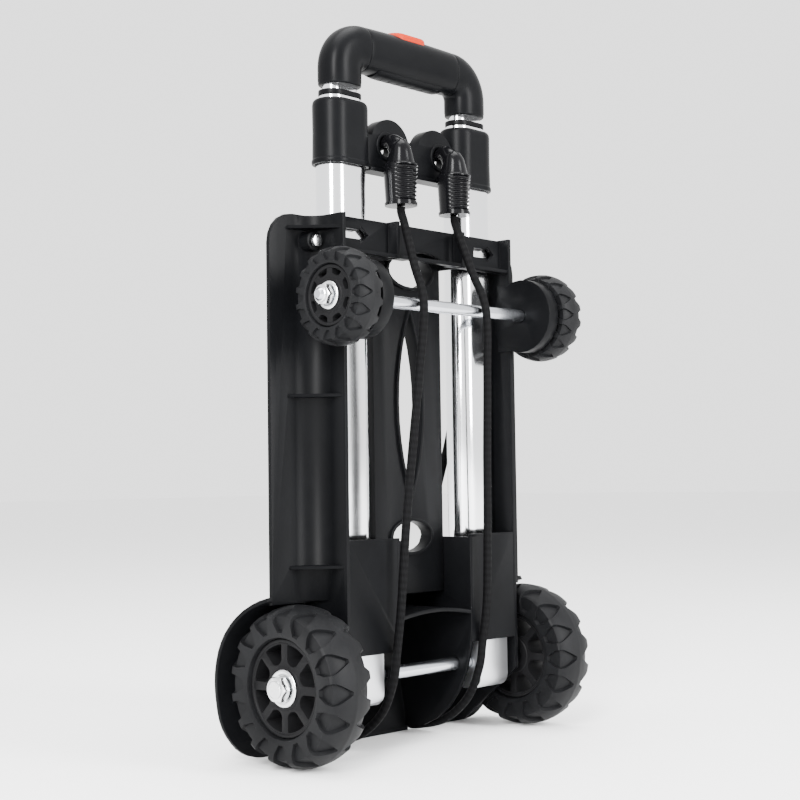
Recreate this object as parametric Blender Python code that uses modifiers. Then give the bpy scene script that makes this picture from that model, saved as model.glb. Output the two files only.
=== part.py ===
"""Folding four-wheel hand truck, folded and standing upright, in metres with +Z up.

X runs along the axles, +Y points away from the ribbed underside towards the load side.
The origin is on the floor, under the middle of the object's box.
"""

import math

import bmesh
import bpy
from mathutils import Matrix, Vector

# ---------------------------------------------------------------- driving dimensions
GAP = 0.0003                    # left between pieces that touch
RUN = 0.0003                    # radial clearance of what turns or slides

LARGE_RADIUS = 0.0550           # rear wheels
LARGE_HALF_WIDTH = 0.0190
LARGE_MIDDLE_X = 0.1218
LARGE_SEAT_RADIUS = 0.0335
LARGE_HUB_HALF = 0.0147
SMALL_RADIUS = 0.0340           # front wheels
SMALL_HALF_WIDTH = 0.0118
SMALL_MIDDLE_X = 0.1110
SMALL_SEAT_RADIUS = 0.0215
SMALL_HUB_HALF = 0.0095
WHEEL_STEPS = 32
SPOKES = 8

DECK_HEIGHT = 0.3800
WING_HALF_WIDTH = 0.1335
WING_CORNER = 0.0220
DECK_WALL = 0.0030
BOX_HALF_WIDTH = 0.0926
BOX_DEPTH = 0.0310              # from the deck plane forward to the rims
INNER_WALL_X = 0.0380
SPINE_HALF_WIDTH = 0.0370
SPINE_RELIEF = 0.0050           # the spine stands this far forward of the deck plane
FILLET = 0.0180

FENDER_HALF_WIDTH = 0.1450
FENDER_CLEARANCE = 0.0035       # between a rear tyre and the arch behind it
FENDER_FOOT_DEPTH = 0.0380      # where the deck's lower edge meets the floor
FENDER_CORNER = 0.0360
FENDER_SHOULDER = 0.0380        # height over which the arch widens from the wings
TOE_SETBACK = 0.0330            # the inner walls curve back to this behind the deck plane
TOE_TOP = 0.0860
CHANNEL_FLOOR = 0.0310          # the tube channels are open to the load side above this

REAR_AXLE_RADIUS = 0.0048
REAR_AXLE_SETBACK = 0.0140      # forward of the deck plane
REAR_AXLE_HALF_LENGTH = 0.1448
FRONT_AXLE_RADIUS = 0.0045
FRONT_AXLE_SETBACK = 0.0450
FRONT_AXLE_Z = DECK_HEIGHT - 0.0620
FRONT_AXLE_HALF_LENGTH = 0.1315

EAR_RADIUS = 0.0280
EAR_IN = 0.0860
EAR_OUT = 0.0970

TUBE_X = 0.0688
TUBE_SETBACK = 0.0058
OUTER_WIDTH, OUTER_DEPTH, OUTER_WALL = 0.0400, 0.0250, 0.0015
STAGE_CLEARANCE = 0.0012
MID_WALL = 0.0015
INNER_WALL = 0.0012
OUTER_BOTTOM, OUTER_TOP = LARGE_RADIUS + 0.0350, DECK_HEIGHT + 0.0750
MID_BOTTOM, MID_TOP = OUTER_BOTTOM + 0.0340, OUTER_TOP + 0.0126
INNER_BOTTOM, INNER_TOP = MID_BOTTOM + 0.0200, OUTER_TOP + 0.0370

LEG_WIDTH, LEG_DEPTH = 0.0320, 0.0260
LEG_REACH = 0.0200              # below the rear axle
LEG_CORNER = 0.0090

SLEEVE_BOTTOM, SLEEVE_TOP = DECK_HEIGHT + 0.0380, OUTER_TOP + 0.0100
SLEEVE_WALL = 0.0026
BRACKET_THICKNESS = 0.0100
BRACKET_FRONT_SETBACK = 0.0140
BRACKET_BOTTOM, BRACKET_SHOULDER = DECK_HEIGHT + 0.0375, DECK_HEIGHT + 0.0640
HUMP_X, HUMP_RADIUS, HUMP_CENTRE_Z = 0.0250, 0.0205, DECK_HEIGHT + 0.0575
EYE_RADIUS = 0.0078

COLLAR_HEIGHT = 0.0038
COLLAR_PROUD = 0.0004

GRIP_WIDTH, GRIP_DEPTH = 0.0330, 0.0270
GRIP_CENTRE_Z = OUTER_TOP + 0.0522
GRIP_HALF_LENGTH = 0.0480       # to the seams with the elbows
ELBOW_BOTTOM = OUTER_TOP + 0.0210
ELBOW_BEND = 0.0185
GRIP_BORE = 0.0075
GRIP_ARCH = 0.0008

BUTTON_LENGTH, BUTTON_WIDTH = 0.0380, 0.0190
BUTTON_PROUD = 0.0018
YOKE_RADIUS = 0.0030
YOKE_OVERRUN = 0.0025           # past the tubes' axes
ROD_RADIUS = 0.0020
ROD_BOTTOM = INNER_BOTTOM + 0.0120
SPRING_TURNS = 3
SPRING_WIRE = 0.0007
SPRING_RADIUS = 0.0032

HOOK_X, HOOK_SETBACK = 0.0295, 0.0280
BOOT_BOTTOM, BOOT_TOP = DECK_HEIGHT + 0.0114, DECK_HEIGHT + 0.0435
BOOT_RADIUS = 0.0135
HOOK_WIRE = 0.0034

CORD_RADIUS = 0.0031
CORD_STEP = 0.0155
CORD_CLEARANCE = 0.0006
CORD_NOTCH_X = 0.0460
CORD_NOTCH_HALF_WIDTH = CORD_RADIUS + 0.0017
CORD_NOTCH_HEIGHT = 2 * CORD_RADIUS + 0.0063

ANCHOR_X, ANCHOR_Z = 0.0995, DECK_HEIGHT - 0.0190
ANCHOR_BOLT_RADIUS = 0.0030
ANCHOR_HEAD_RADIUS = 0.0048
ANCHOR_HEAD_HEIGHT = 0.0032
ANCHOR_BOSS_RADIUS, ANCHOR_BOSS_DEPTH = 0.0070, 0.0100
ANCHOR_HEIGHT = 0.0110

NUT_FLATS_LARGE, NUT_LENGTH_LARGE = 0.0160, 0.0060
NUT_FLATS_SMALL, NUT_LENGTH_SMALL = 0.0130, 0.0055
WASHER_RADIUS_LARGE, WASHER_RADIUS_SMALL = 0.0128, 0.0098
WASHER_THICKNESS = 0.0015

# ---------------------------------------------------------------- derived places
FENDER_INNER_RADIUS = LARGE_RADIUS + FENDER_CLEARANCE
FENDER_OUTER_RADIUS = FENDER_INNER_RADIUS + DECK_WALL
BACK_REACH = FENDER_OUTER_RADIUS - REAR_AXLE_SETBACK
FRONT_REACH = FRONT_AXLE_SETBACK + SMALL_RADIUS
CORD_REACH = BACK_REACH + CORD_CLEARANCE / 2 + 2 * CORD_RADIUS
DECK_Y = (FRONT_REACH - CORD_REACH) / 2
RIM_Y = DECK_Y - BOX_DEPTH
SPINE_Y = DECK_Y - SPINE_RELIEF
REAR_AXLE_Y = DECK_Y - REAR_AXLE_SETBACK
REAR_AXLE_Z = LARGE_RADIUS
FRONT_AXLE_Y = DECK_Y - FRONT_AXLE_SETBACK
TUBE_Y = DECK_Y - TUBE_SETBACK
HOOK_Y = DECK_Y - HOOK_SETBACK
BRACKET_Y = DECK_Y - BRACKET_FRONT_SETBACK + BRACKET_THICKNESS / 2
CHANNEL_IN = INNER_WALL_X + DECK_WALL
CHANNEL_OUT = BOX_HALF_WIDTH - DECK_WALL
MID_WIDTH = OUTER_WIDTH - 2 * (OUTER_WALL + STAGE_CLEARANCE)
MID_DEPTH = OUTER_DEPTH - 2 * (OUTER_WALL + STAGE_CLEARANCE)
INNER_WIDTH = MID_WIDTH - 2 * (MID_WALL + STAGE_CLEARANCE)
INNER_DEPTH = MID_DEPTH - 2 * (MID_WALL + STAGE_CLEARANCE)
COVER_BOTTOM, COVER_TOP = LARGE_RADIUS + 0.0170, LARGE_RADIUS + 0.0950
WEB_BOTTOM = DECK_HEIGHT - 0.0260
ARC_STEPS = 5
JOIN = 0.0010                   # how far a joined shape reaches into its neighbour
FOOT_MARGIN = 0.0040            # the walls end this far above the floor edge

ALONG_X = Matrix(((0, 0, 1, 0), (1, 0, 0, 0), (0, 1, 0, 0), (0, 0, 0, 1)))
ALONG_Y = Matrix(((1, 0, 0, 0), (0, 0, -1, 0), (0, 1, 0, 0), (0, 0, 0, 1)))
ALONG_Z = Matrix.Identity(4)

PARTS = bpy.data.collections.new("hand_truck")
TOOLS = bpy.data.collections.new("cutters")


# ---------------------------------------------------------------- scene and materials
def clear_scene():
    """Removes every object and adds the two collections."""
    for obj in list(bpy.data.objects):
        bpy.data.objects.remove(obj, do_unlink=True)
    for collection in (PARTS, TOOLS):
        bpy.context.scene.collection.children.link(collection)
    TOOLS.hide_render = True


def make_material(name, colour, roughness, metallic=0.0):
    """A Principled material of one colour."""
    material = bpy.data.materials.new(name)
    material.use_nodes = True
    shader = material.node_tree.nodes["Principled BSDF"]
    shader.inputs["Base Color"].default_value = (*colour, 1)
    shader.inputs["Roughness"].default_value = roughness
    shader.inputs["Metallic"].default_value = metallic
    return material


# ---------------------------------------------------------------- outlines
def arc(centre, radius, start, end, steps=ARC_STEPS):
    """Points along an arc, angles in degrees."""
    points = []
    for i in range(steps + 1):
        angle = math.radians(start + (end - start) * i / steps)
        points.append((centre[0] + radius * math.cos(angle), centre[1] + radius * math.sin(angle)))
    return points


def oval(width, depth, centre=(0, 0), steps=ARC_STEPS):
    """Outline of a flat-sided oval tube."""
    x, radius = (width - depth) / 2, depth / 2
    return (arc((centre[0] + x, centre[1]), radius, -90, 90, 2 * steps)
            + arc((centre[0] - x, centre[1]), radius, 90, 270, 2 * steps))


def ellipse(width, height, centre=(0, 0), count=20):
    """Outline of an ellipse."""
    angles = [2 * math.pi * i / count for i in range(count)]
    return [(centre[0] + width / 2 * math.cos(a), centre[1] + height / 2 * math.sin(a)) for a in angles]


def lens(width, height, centre=(0, 0), steps=10):
    """Outline of a pointed lens, as where two equal circles overlap, on end."""
    half, rise = height / 2, width / 2
    radius = (half * half + rise * rise) / (2 * rise)
    reach = math.degrees(math.asin(half / radius))
    right = arc((centre[0] + rise - radius, centre[1]), radius, -reach, reach, steps)
    left = arc((centre[0] - rise + radius, centre[1]), radius, 180 - reach, 180 + reach, steps)
    return right[:-1] + left[:-1]


# ---------------------------------------------------------------- solids
def as_mesh(obj, material=None):
    """A curve object made a mesh object with its caps joined."""
    bpy.context.view_layer.update()
    evaluated = obj.evaluated_get(bpy.context.evaluated_depsgraph_get())
    mesh = bpy.data.meshes.new_from_object(evaluated)
    shape = bmesh.new()
    shape.from_mesh(mesh)
    bmesh.ops.remove_doubles(shape, verts=shape.verts, dist=1e-6)
    shape.to_mesh(mesh)
    shape.free()
    name, place, group = obj.name, obj.matrix_world.copy(), obj.users_collection[0]
    bpy.data.objects.remove(obj, do_unlink=True)
    solid = bpy.data.objects.new(name, mesh)
    solid.matrix_world = place
    group.objects.link(solid)
    finish(solid, material)
    return solid


def finish(obj, material=None):
    """Shades an object smooth with sharp edges kept, and gives it its material."""
    obj.data.shade_smooth()
    obj.data.set_sharp_from_angle(angle=math.radians(35))
    if material:
        obj.data.materials.clear()
        obj.data.materials.append(material)


def prism(name, outlines, span, along, material=None, tool=False):
    """A flat outline, with any holes, extruded over a span.

    ALONG_Z takes (x, y), ALONG_X takes (y, z) and ALONG_Y takes (x, z) outlines.
    """
    curve = bpy.data.curves.new(name, "CURVE")
    curve.dimensions = "2D"
    curve.fill_mode = "BOTH"
    curve.extrude = (span[1] - span[0]) / 2
    for outline in outlines:
        spline = curve.splines.new("POLY")
        spline.points.add(len(outline) - 1)
        for point, (u, v) in zip(spline.points, outline):
            point.co = (u, v, 0, 1)
        spline.use_cyclic_u = True
    obj = bpy.data.objects.new(name, curve)
    middle = (span[0] + span[1]) / 2
    lift = -middle if along is ALONG_Y else middle
    obj.matrix_world = along @ Matrix.Translation((0, 0, lift))
    (TOOLS if tool else PARTS).objects.link(obj)
    solid = as_mesh(obj, material)
    if tool:
        hide(solid)
    return solid


def block(name, low, high, material=None, tool=False):
    """A box between two corners."""
    shape = bmesh.new()
    bmesh.ops.create_cube(shape, size=1)
    size = [b - a for a, b in zip(low, high)]
    middle = [(a + b) / 2 for a, b in zip(low, high)]
    bmesh.ops.scale(shape, vec=size, verts=shape.verts)
    bmesh.ops.translate(shape, vec=middle, verts=shape.verts)
    return from_bmesh(name, shape, material, tool)


def from_bmesh(name, shape, material=None, tool=False):
    """An object of a bmesh, which is freed."""
    mesh = bpy.data.meshes.new(name)
    shape.to_mesh(mesh)
    shape.free()
    obj = bpy.data.objects.new(name, mesh)
    (TOOLS if tool else PARTS).objects.link(obj)
    finish(obj, material)
    if tool:
        hide(obj)
    return obj


def rod(name, radius, start, end, segments=20, material=None, tool=False):
    """A round bar between two points."""
    start, end = Vector(start), Vector(end)
    shape = bmesh.new()
    bmesh.ops.create_cone(shape, cap_ends=True, segments=segments, radius1=radius, radius2=radius,
                          depth=(end - start).length)
    turn = Vector((0, 0, 1)).rotation_difference(end - start).to_matrix().to_4x4()
    bmesh.ops.transform(shape, matrix=Matrix.Translation((start + end) / 2) @ turn, verts=shape.verts)
    return from_bmesh(name, shape, material, tool)


def turned(name, profile, place, material=None, steps=WHEEL_STEPS, tool=False):
    """A closed (radius, height) loop turned round its own Z axis, then placed by a matrix."""
    mesh = bpy.data.meshes.new(name)
    edges = [(i, (i + 1) % len(profile)) for i in range(len(profile))]
    mesh.from_pydata([(r, 0, z) for r, z in profile], edges, [])
    obj = bpy.data.objects.new(name, mesh)
    (TOOLS if tool else PARTS).objects.link(obj)
    screw = obj.modifiers.new("turn", "SCREW")
    screw.steps = screw.render_steps = steps
    screw.use_merge_vertices = True
    screw.merge_threshold = 1e-5
    obj.matrix_world = place
    finish(obj, material)
    if tool:
        hide(obj)
    return obj


def ring(name, bore, radius, span, at, material, steps=WHEEL_STEPS):
    """A plain ring on an axis along X: bore and outer radius, x span, (y, z) of the axis."""
    half = abs(span[1] - span[0]) / 2
    profile = [(radius, half), (radius, -half), (bore, -half), (bore, half)]
    return turned(name, profile, facing_x((span[0] + span[1]) / 2, at), material, steps)


def facing_x(x, at, side=1):
    """The matrix that stands a turned piece's axis along X, its top facing outwards."""
    turn = Matrix.Rotation(math.radians(90 * side), 4, "Y")
    return Matrix.Translation((x, at[0], at[1])) @ turn


def hide(obj):
    """Marks an object as a helper."""
    obj.hide_render = True
    obj.display_type = "WIRE"


def boolean(obj, other, operation):
    """Adds a Boolean modifier with a helper object."""
    modifier = obj.modifiers.new(f"{operation.lower()}_{other.name}", "BOOLEAN")
    modifier.operation = operation
    modifier.solver = "EXACT"
    modifier.object = other
    if other.name in PARTS.objects:
        PARTS.objects.unlink(other)
        TOOLS.objects.link(other)
        hide(other)


def join(obj, others):
    """Unions helpers into an object."""
    for other in others:
        boolean(obj, other, "UNION")


def cut(obj, others):
    """Cuts helpers from an object."""
    for other in others:
        boolean(obj, other, "DIFFERENCE")


def sided(side, low, high):
    """An x span on one side of the middle, in rising order."""
    return (low, high) if side > 0 else (-high, -low)


def raised(z):
    """A height between the wheels and the front axle, moved in proportion when the deck's height changes."""
    low, high = 0.1100, 0.3180
    share = min(max((z - low) / (high - low), 0), 1)
    return z + (FRONT_AXLE_Z - high) * share


def name_of(base, side):
    """The name of a left or right piece."""
    return f"{base}_{'right' if side > 0 else 'left'}"


def smooth_route(points, step):
    """Points spaced evenly along a smooth curve through the given points."""
    points = [Vector(p) for p in points]
    ends = [2 * points[0] - points[1], *points, 2 * points[-1] - points[-2]]
    fine = []
    for a, b, c, d in zip(ends, ends[1:], ends[2:], ends[3:]):
        for i in range(24):
            t = i / 24
            fine.append(0.5 * (2 * b + (c - a) * t + (2 * a - 5 * b + 4 * c - d) * t * t
                               + (3 * b - a - 3 * c + d) * t * t * t))
    fine.append(points[-1])
    length = sum((b - a).length for a, b in zip(fine, fine[1:]))
    count = max(2, round(length / step))
    route, walked, target = [fine[0]], 0.0, length / count
    for a, b in zip(fine, fine[1:]):
        piece = (b - a).length
        while walked + piece >= target - 1e-9 and len(route) < count:
            route.append(a.lerp(b, (target - walked) / piece))
            target += length / count
        walked += piece
    route.append(fine[-1])
    return route


def tube(name, points, radius, material, resolution=2, cyclic=False):
    """A round wire along straight runs between points."""
    curve = bpy.data.curves.new(name, "CURVE")
    curve.dimensions = "3D"
    curve.bevel_depth = radius
    curve.bevel_resolution = resolution
    curve.use_fill_caps = True
    spline = curve.splines.new("POLY")
    spline.points.add(len(points) - 1)
    for point, place in zip(spline.points, points):
        point.co = (*place, 1)
    spline.use_cyclic_u = cyclic
    obj = bpy.data.objects.new(name, curve)
    PARTS.objects.link(obj)
    curve.materials.append(material)
    return obj


# ---------------------------------------------------------------- the deck
def fender_outline(radius, foot_depth):
    """(y, z) points of the arch behind the rear wheels, from its top edge to the floor."""
    centre = (REAR_AXLE_Y, REAR_AXLE_Z)
    top = math.degrees(math.acos((DECK_Y - REAR_AXLE_Y) / radius))
    points = arc(centre, radius, top, -8, 12)
    points += [(DECK_Y + foot_depth, REAR_AXLE_Z * 0.25), (DECK_Y + foot_depth, 0)]
    return points


def deck_wings():
    """The flat load plate with round top corners."""
    low = REAR_AXLE_Z + FENDER_INNER_RADIUS * 0.93
    outline = [(-WING_HALF_WIDTH, low), (WING_HALF_WIDTH, low)]
    x, z = WING_HALF_WIDTH - WING_CORNER, DECK_HEIGHT - WING_CORNER
    outline += arc((x, z), WING_CORNER, 0, 90) + arc((-x, z), WING_CORNER, 90, 180)
    return prism("deck", [outline], (DECK_Y, DECK_Y + DECK_WALL), ALONG_Y)


def deck_fenders():
    """The arch that runs round the rear wheels, trimmed to round lower corners."""
    inner = fender_outline(FENDER_INNER_RADIUS, FENDER_FOOT_DEPTH)
    outer = fender_outline(FENDER_OUTER_RADIUS, FENDER_FOOT_DEPTH + DECK_WALL)
    arch = prism("deck_arch", [inner + outer[::-1]], (-FENDER_HALF_WIDTH, FENDER_HALF_WIDTH), ALONG_X,
                 tool=True)
    top = REAR_AXLE_Z + FENDER_OUTER_RADIUS
    corner = FENDER_HALF_WIDTH - FENDER_CORNER
    flare = FENDER_HALF_WIDTH - WING_HALF_WIDTH
    outline = [(WING_HALF_WIDTH, top + 0.010)]
    for x, z in arc((0, 0), 1.0, 90, 0, 6):
        outline.append((WING_HALF_WIDTH + flare * x, top - FENDER_SHOULDER * (1 - z)))
    outline += arc((corner, FENDER_CORNER), FENDER_CORNER, 0, -90, 9)
    mirrored = [(-x, z) for x, z in reversed(outline)]
    trim = prism("deck_arch_trim", [outline + mirrored], (RIM_Y, DECK_Y + BACK_REACH + 0.01), ALONG_Y, tool=True)
    boolean(arch, trim, "INTERSECT")
    return arch


def box_wall(name, side, x_low, x_high):
    """One lengthwise wall of the box, from its rim back to the deck and down to the floor edge."""
    inner = fender_outline(FENDER_INNER_RADIUS + DECK_WALL / 2, FENDER_FOOT_DEPTH + DECK_WALL / 2)
    outline = [(RIM_Y, DECK_HEIGHT - GAP), (DECK_Y + DECK_WALL / 2, DECK_HEIGHT - GAP)]
    outline += [p for p in inner if p[1] > FOOT_MARGIN]
    outline += [(inner[-1][0], FOOT_MARGIN), (DECK_Y + 0.0225, FOOT_MARGIN), (RIM_Y, 0.0480)]
    return prism(name_of(name, side), [outline], sided(side, x_low, x_high), ALONG_X, tool=True)


def inner_wall(side):
    """The short wall between a tube channel and the middle, below the long slots."""
    inner = fender_outline(FENDER_INNER_RADIUS + DECK_WALL / 2, FENDER_FOOT_DEPTH + DECK_WALL / 2)
    outline = [(RIM_Y, COVER_TOP), (DECK_Y + DECK_WALL / 2, COVER_TOP)]
    outline += [p for p in inner if p[1] > FOOT_MARGIN]
    outline.append((inner[-1][0], FOOT_MARGIN))
    reach, rise = DECK_Y + TOE_SETBACK - RIM_Y, TOE_TOP - FOOT_MARGIN
    for y, z in arc((0, 0), 1.0, 270, 180, 7):
        outline.append((RIM_Y + reach * (1 + y), TOE_TOP + rise * z))
    span = sided(side, INNER_WALL_X, INNER_WALL_X + DECK_WALL)
    return prism(name_of("deck_inner_wall", side), [outline], span, ALONG_X, tool=True)


def deck_spine():
    """The raised middle strip between the long slots, with its three openings and their rims."""
    low = REAR_AXLE_Z + FENDER_INNER_RADIUS * 0.93
    strip = block("deck_spine", (-SPINE_HALF_WIDTH, SPINE_Y, low),
                  (SPINE_HALF_WIDTH, DECK_Y + DECK_WALL / 3, DECK_HEIGHT - JOIN / 2), tool=True)
    rim, proud = 0.0022, 0.0030
    for i, wide in enumerate(spine_openings(rim)):
        collar = prism(f"deck_spine_rim_{i}", [wide], (SPINE_Y - proud, SPINE_Y + JOIN), ALONG_Y, tool=True)
        join(strip, [collar])
    return strip


def spine_cutters():
    """Cutters for the three openings through the spine."""
    return [
        prism(f"deck_spine_cut_{i}", [opening], (SPINE_Y - 0.02, DECK_Y + 0.02), ALONG_Y, tool=True)
        for i, opening in enumerate(spine_openings(0.0))
    ]


def spine_openings(grow):
    """The three openings in the spine, each grown outwards by a rim width."""
    return [
        ellipse(0.048 + 2 * grow, 0.0245 + 2 * grow, (0.002, DECK_HEIGHT - 0.0310)),
        lens(0.026 + 2 * grow, 0.136 + 4 * grow, (0.0, raised(0.2500))),
        ellipse(0.042 + 2 * grow, 0.0230 + 2 * grow, (0.0, COVER_TOP + 0.0015)),
    ]


def deck_top_web():
    """The pocketed cross web in front of the tubes at the top, with its ribs and slits."""
    web_front = TUBE_Y - OUTER_DEPTH / 2 - 0.0040
    web_back = web_front + DECK_WALL
    web = block("deck_web", (-BOX_HALF_WIDTH + 0.001, web_front, WEB_BOTTOM),
                (BOX_HALF_WIDTH - 0.001, web_back, DECK_HEIGHT - 0.001), tool=True)
    floor = block("deck_web_floor", (-BOX_HALF_WIDTH + 0.001, RIM_Y + 0.001, WEB_BOTTOM - 0.001),
                  (BOX_HALF_WIDTH - 0.001, web_back - JOIN, WEB_BOTTOM + 0.0016), tool=True)
    ribs = [
        block(f"deck_web_rib_{i}", (x - 0.0014, RIM_Y, WEB_BOTTOM - 0.0015),
              (x + 0.0014, DECK_Y + JOIN, DECK_HEIGHT - 2 * GAP), tool=True)
        for i, x in enumerate((-0.0360, 0.0360))
    ]
    slits = []
    for side in (-1, 1):
        x, z, reach = side * 0.0700, DECK_HEIGHT - 0.0125, 0.0120
        arrow = [(x - reach, z - 0.0035), (x + reach * 0.3, z - 0.0035), (x + reach * 0.3, z - 0.0065),
                 (x + reach, z), (x + reach * 0.3, z + 0.0065), (x + reach * 0.3, z + 0.0035), (x - reach, z + 0.0035)]
        slits.append(prism(name_of("deck_slit", side), [arrow], (web_front - 0.002, web_back + 0.002), ALONG_Y,
                           tool=True))
    return [web, floor, *ribs], slits


def deck_fillet(side):
    """The concave fillet from a box wall out to its wing."""
    x = side * (BOX_HALF_WIDTH - 0.0010)
    edge = side * (BOX_HALF_WIDTH + FILLET)
    centre = (edge, DECK_Y - FILLET)
    start, end = (180, 90) if side > 0 else (0, 90)
    outline = [(x, DECK_Y + 0.001), (x, DECK_Y - FILLET)]
    outline += arc(centre, FILLET, start, end, 7) + [(edge, DECK_Y + 0.001)]
    low = REAR_AXLE_Z + FENDER_INNER_RADIUS * 0.95
    return prism(name_of("deck_fillet", side), [outline], (low, DECK_HEIGHT - 0.0005), ALONG_Z, tool=True)


def deck_gussets(side):
    """Three thin triangular ribs between a box wall and its wing."""
    x, reach = side * (BOX_HALF_WIDTH - 0.001), side * (BOX_HALF_WIDTH + 0.0245)
    outline = [(x, RIM_Y + 0.0015), (x, DECK_Y + 0.001), (reach, DECK_Y + 0.001), (reach, DECK_Y - 0.002)]
    return [
        prism(f"{name_of('deck_gusset', side)}_{i}", [outline], (z - 0.0011, z + 0.0011), ALONG_Z, tool=True)
        for i, z in enumerate((DECK_HEIGHT - 0.0100, raised(0.2525), raised(0.1340)))
    ]


def deck_ear(side):
    """The round boss that carries the front axle, with its stem back to the box wall."""
    at = (FRONT_AXLE_Y, FRONT_AXLE_Z)
    span = sided(side, EAR_IN, EAR_OUT)
    disc = rod(name_of("deck_ear", side), EAR_RADIUS, (span[0], *at), (span[1], *at), 28, tool=True)
    inside = sided(side, EAR_IN - JOIN, CHANNEL_OUT + JOIN)
    tube_front = TUBE_Y - OUTER_DEPTH / 2 - 0.0012
    cut(disc, [block(name_of("ear_relief", side), (inside[0], tube_front, at[1] - 2 * EAR_RADIUS),
                     (inside[1], DECK_Y, at[1] + 2 * EAR_RADIUS), tool=True)])
    low, high = at[1] - EAR_RADIUS * 0.92, at[1] + EAR_RADIUS * 0.92
    wall = sided(side, EAR_IN + 0.001, BOX_HALF_WIDTH - 0.0005)
    stem = block(name_of("deck_ear_stem", side), (wall[0], at[0], low), (wall[1], RIM_Y + 0.010, high), tool=True)
    return [disc, stem]


def deck_lower(side):
    """The cover over a tube's lower end."""
    x_low, x_high = sided(side, INNER_WALL_X + 0.001, BOX_HALF_WIDTH - 0.001)
    return block(name_of("deck_cover", side), (x_low, RIM_Y + GAP, COVER_BOTTOM),
                 (x_high, RIM_Y + 0.0025, COVER_TOP + 0.002), tool=True)


def middle_rib():
    """The arched rib across the middle recess, between the inner walls."""
    rise, half = 0.0040, INNER_WALL_X + 0.001
    radius = (half * half + rise * rise) / (2 * rise)
    reach = math.degrees(math.asin(half / radius))
    z = LARGE_RADIUS + 0.0405
    upper = arc((0, z + rise - radius), radius, 90 - reach, 90 + reach, 8)
    lower = [(x, z2 - 0.0026) for x, z2 in reversed(upper)]
    return prism("deck_middle_rib", [upper + lower], (RIM_Y + GAP, DECK_Y + 0.024), ALONG_Y, tool=True)


def channel_cut(name, side, x_in, front, low):
    """A cutter for one tube channel, open towards the load side and the top."""
    x_low, x_high = sided(side, x_in, CHANNEL_OUT + JOIN)
    return block(name_of(name, side), (x_low, front, low), (x_high, DECK_Y + BACK_REACH + JOIN, DECK_HEIGHT + JOIN),
                 tool=True)


def make_deck(material):
    """The moulded platform: wings, box, spine, arches and bosses in one piece."""
    deck = deck_wings()
    finish(deck, material)
    arch = deck_fenders()
    cut(arch, [channel_cut("arch_cut", side, CHANNEL_IN - JOIN, RIM_Y, CHANNEL_FLOOR) for side in (-1, 1)])
    for side in (-1, 1):
        cut(deck, [channel_cut("slot_low_cut", side, CHANNEL_IN - JOIN, RIM_Y, REAR_AXLE_Z),
                   channel_cut("slot_cut", side, SPINE_HALF_WIDTH - JOIN, RIM_Y, COVER_TOP + 2 * JOIN)])
    join(deck, [arch, deck_spine()])
    web, slits = deck_top_web()
    for side in (-1, 1):
        join(deck, [box_wall("deck_wall", side, CHANNEL_OUT, BOX_HALF_WIDTH), inner_wall(side), deck_lower(side)])
        join(deck, [deck_fillet(side), *deck_gussets(side), *deck_ear(side), deck_boss(side)])
    join(deck, [*web, middle_rib()])
    cut(deck, [*slits, *spine_cutters(), *deck_holes()])
    return deck


def deck_boss(side):
    """The round boss on a wing's underside for the cord's anchor bolt."""
    x = side * ANCHOR_X
    return rod(name_of("deck_boss", side), ANCHOR_BOSS_RADIUS, (x, DECK_Y - ANCHOR_BOSS_DEPTH, ANCHOR_Z),
               (x, DECK_Y + JOIN, ANCHOR_Z), 24, tool=True)


def deck_holes():
    """Cutters for both axles, both anchor bolts and the cord notches in the lower edge."""
    cutters = []
    reach = FENDER_HALF_WIDTH + 0.01
    for name, radius, at in (("rear", REAR_AXLE_RADIUS, (REAR_AXLE_Y, REAR_AXLE_Z)),
                             ("front", FRONT_AXLE_RADIUS, (FRONT_AXLE_Y, FRONT_AXLE_Z))):
        cutters.append(rod(f"{name}_axle_cut", radius + GAP, (-reach, *at), (reach, *at), 20, tool=True))
    for side in (-1, 1):
        x = side * ANCHOR_X
        cutters.append(rod(name_of("bolt_cut", side), ANCHOR_BOLT_RADIUS + GAP, (x, DECK_Y - 0.03, ANCHOR_Z),
                           (x, DECK_Y + 0.03, ANCHOR_Z), 16, tool=True))
        x = side * CORD_NOTCH_X
        cutters.append(block(name_of("notch_cut", side),
                             (x - CORD_NOTCH_HALF_WIDTH, DECK_Y - 0.01, -0.01),
                             (x + CORD_NOTCH_HALF_WIDTH, DECK_Y + BACK_REACH, CORD_NOTCH_HEIGHT), tool=True))
    return cutters


# ---------------------------------------------------------------- axles and wheels
def make_axle(name, radius, half_length, at, material):
    """A plain round axle along X with chamfered ends."""
    chamfer = 0.0008
    profile = [(0, half_length), (radius - chamfer, half_length), (radius, half_length - chamfer),
               (radius, -half_length + chamfer), (radius - chamfer, -half_length), (0, -half_length)]
    mesh_place = facing_x(0, at)
    obj = turned(name, profile, mesh_place, material, 20)
    return obj


def tyre_profile(radius, seat, half):
    """A barrel-shaped solid tyre's closed (radius, width) loop."""
    wall, crown = radius - seat, 0.30 * half
    upper = [(seat + 0.10 * wall, 0.94 * half), (seat + 0.55 * wall, half), (seat + 0.72 * wall, 0.96 * half),
             (seat + 0.93 * wall, 0.70 * half), (radius, crown)]
    lower = [(r, -z) for r, z in reversed(upper)]
    return [(seat, 0.86 * half), *upper, *lower, (seat, -0.86 * half)]


def hub_profile(seat, half, boss, bore):
    """A spoked hub's closed loop before its windows are cut."""
    rim, web = seat - 0.0045, 0.42 * half
    outer = [(bore, half), (boss, half), (boss + 0.002, 0.62 * half), (rim - 0.001, 0.62 * half),
             (rim, 0.90 * half), (seat, 0.86 * half)]
    inner = [(seat, -0.86 * half), (rim, -0.86 * half), (rim - 0.001, -web), (boss + 0.002, -web), (boss, -half),
             (bore, -half)]
    return outer + inner


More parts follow.
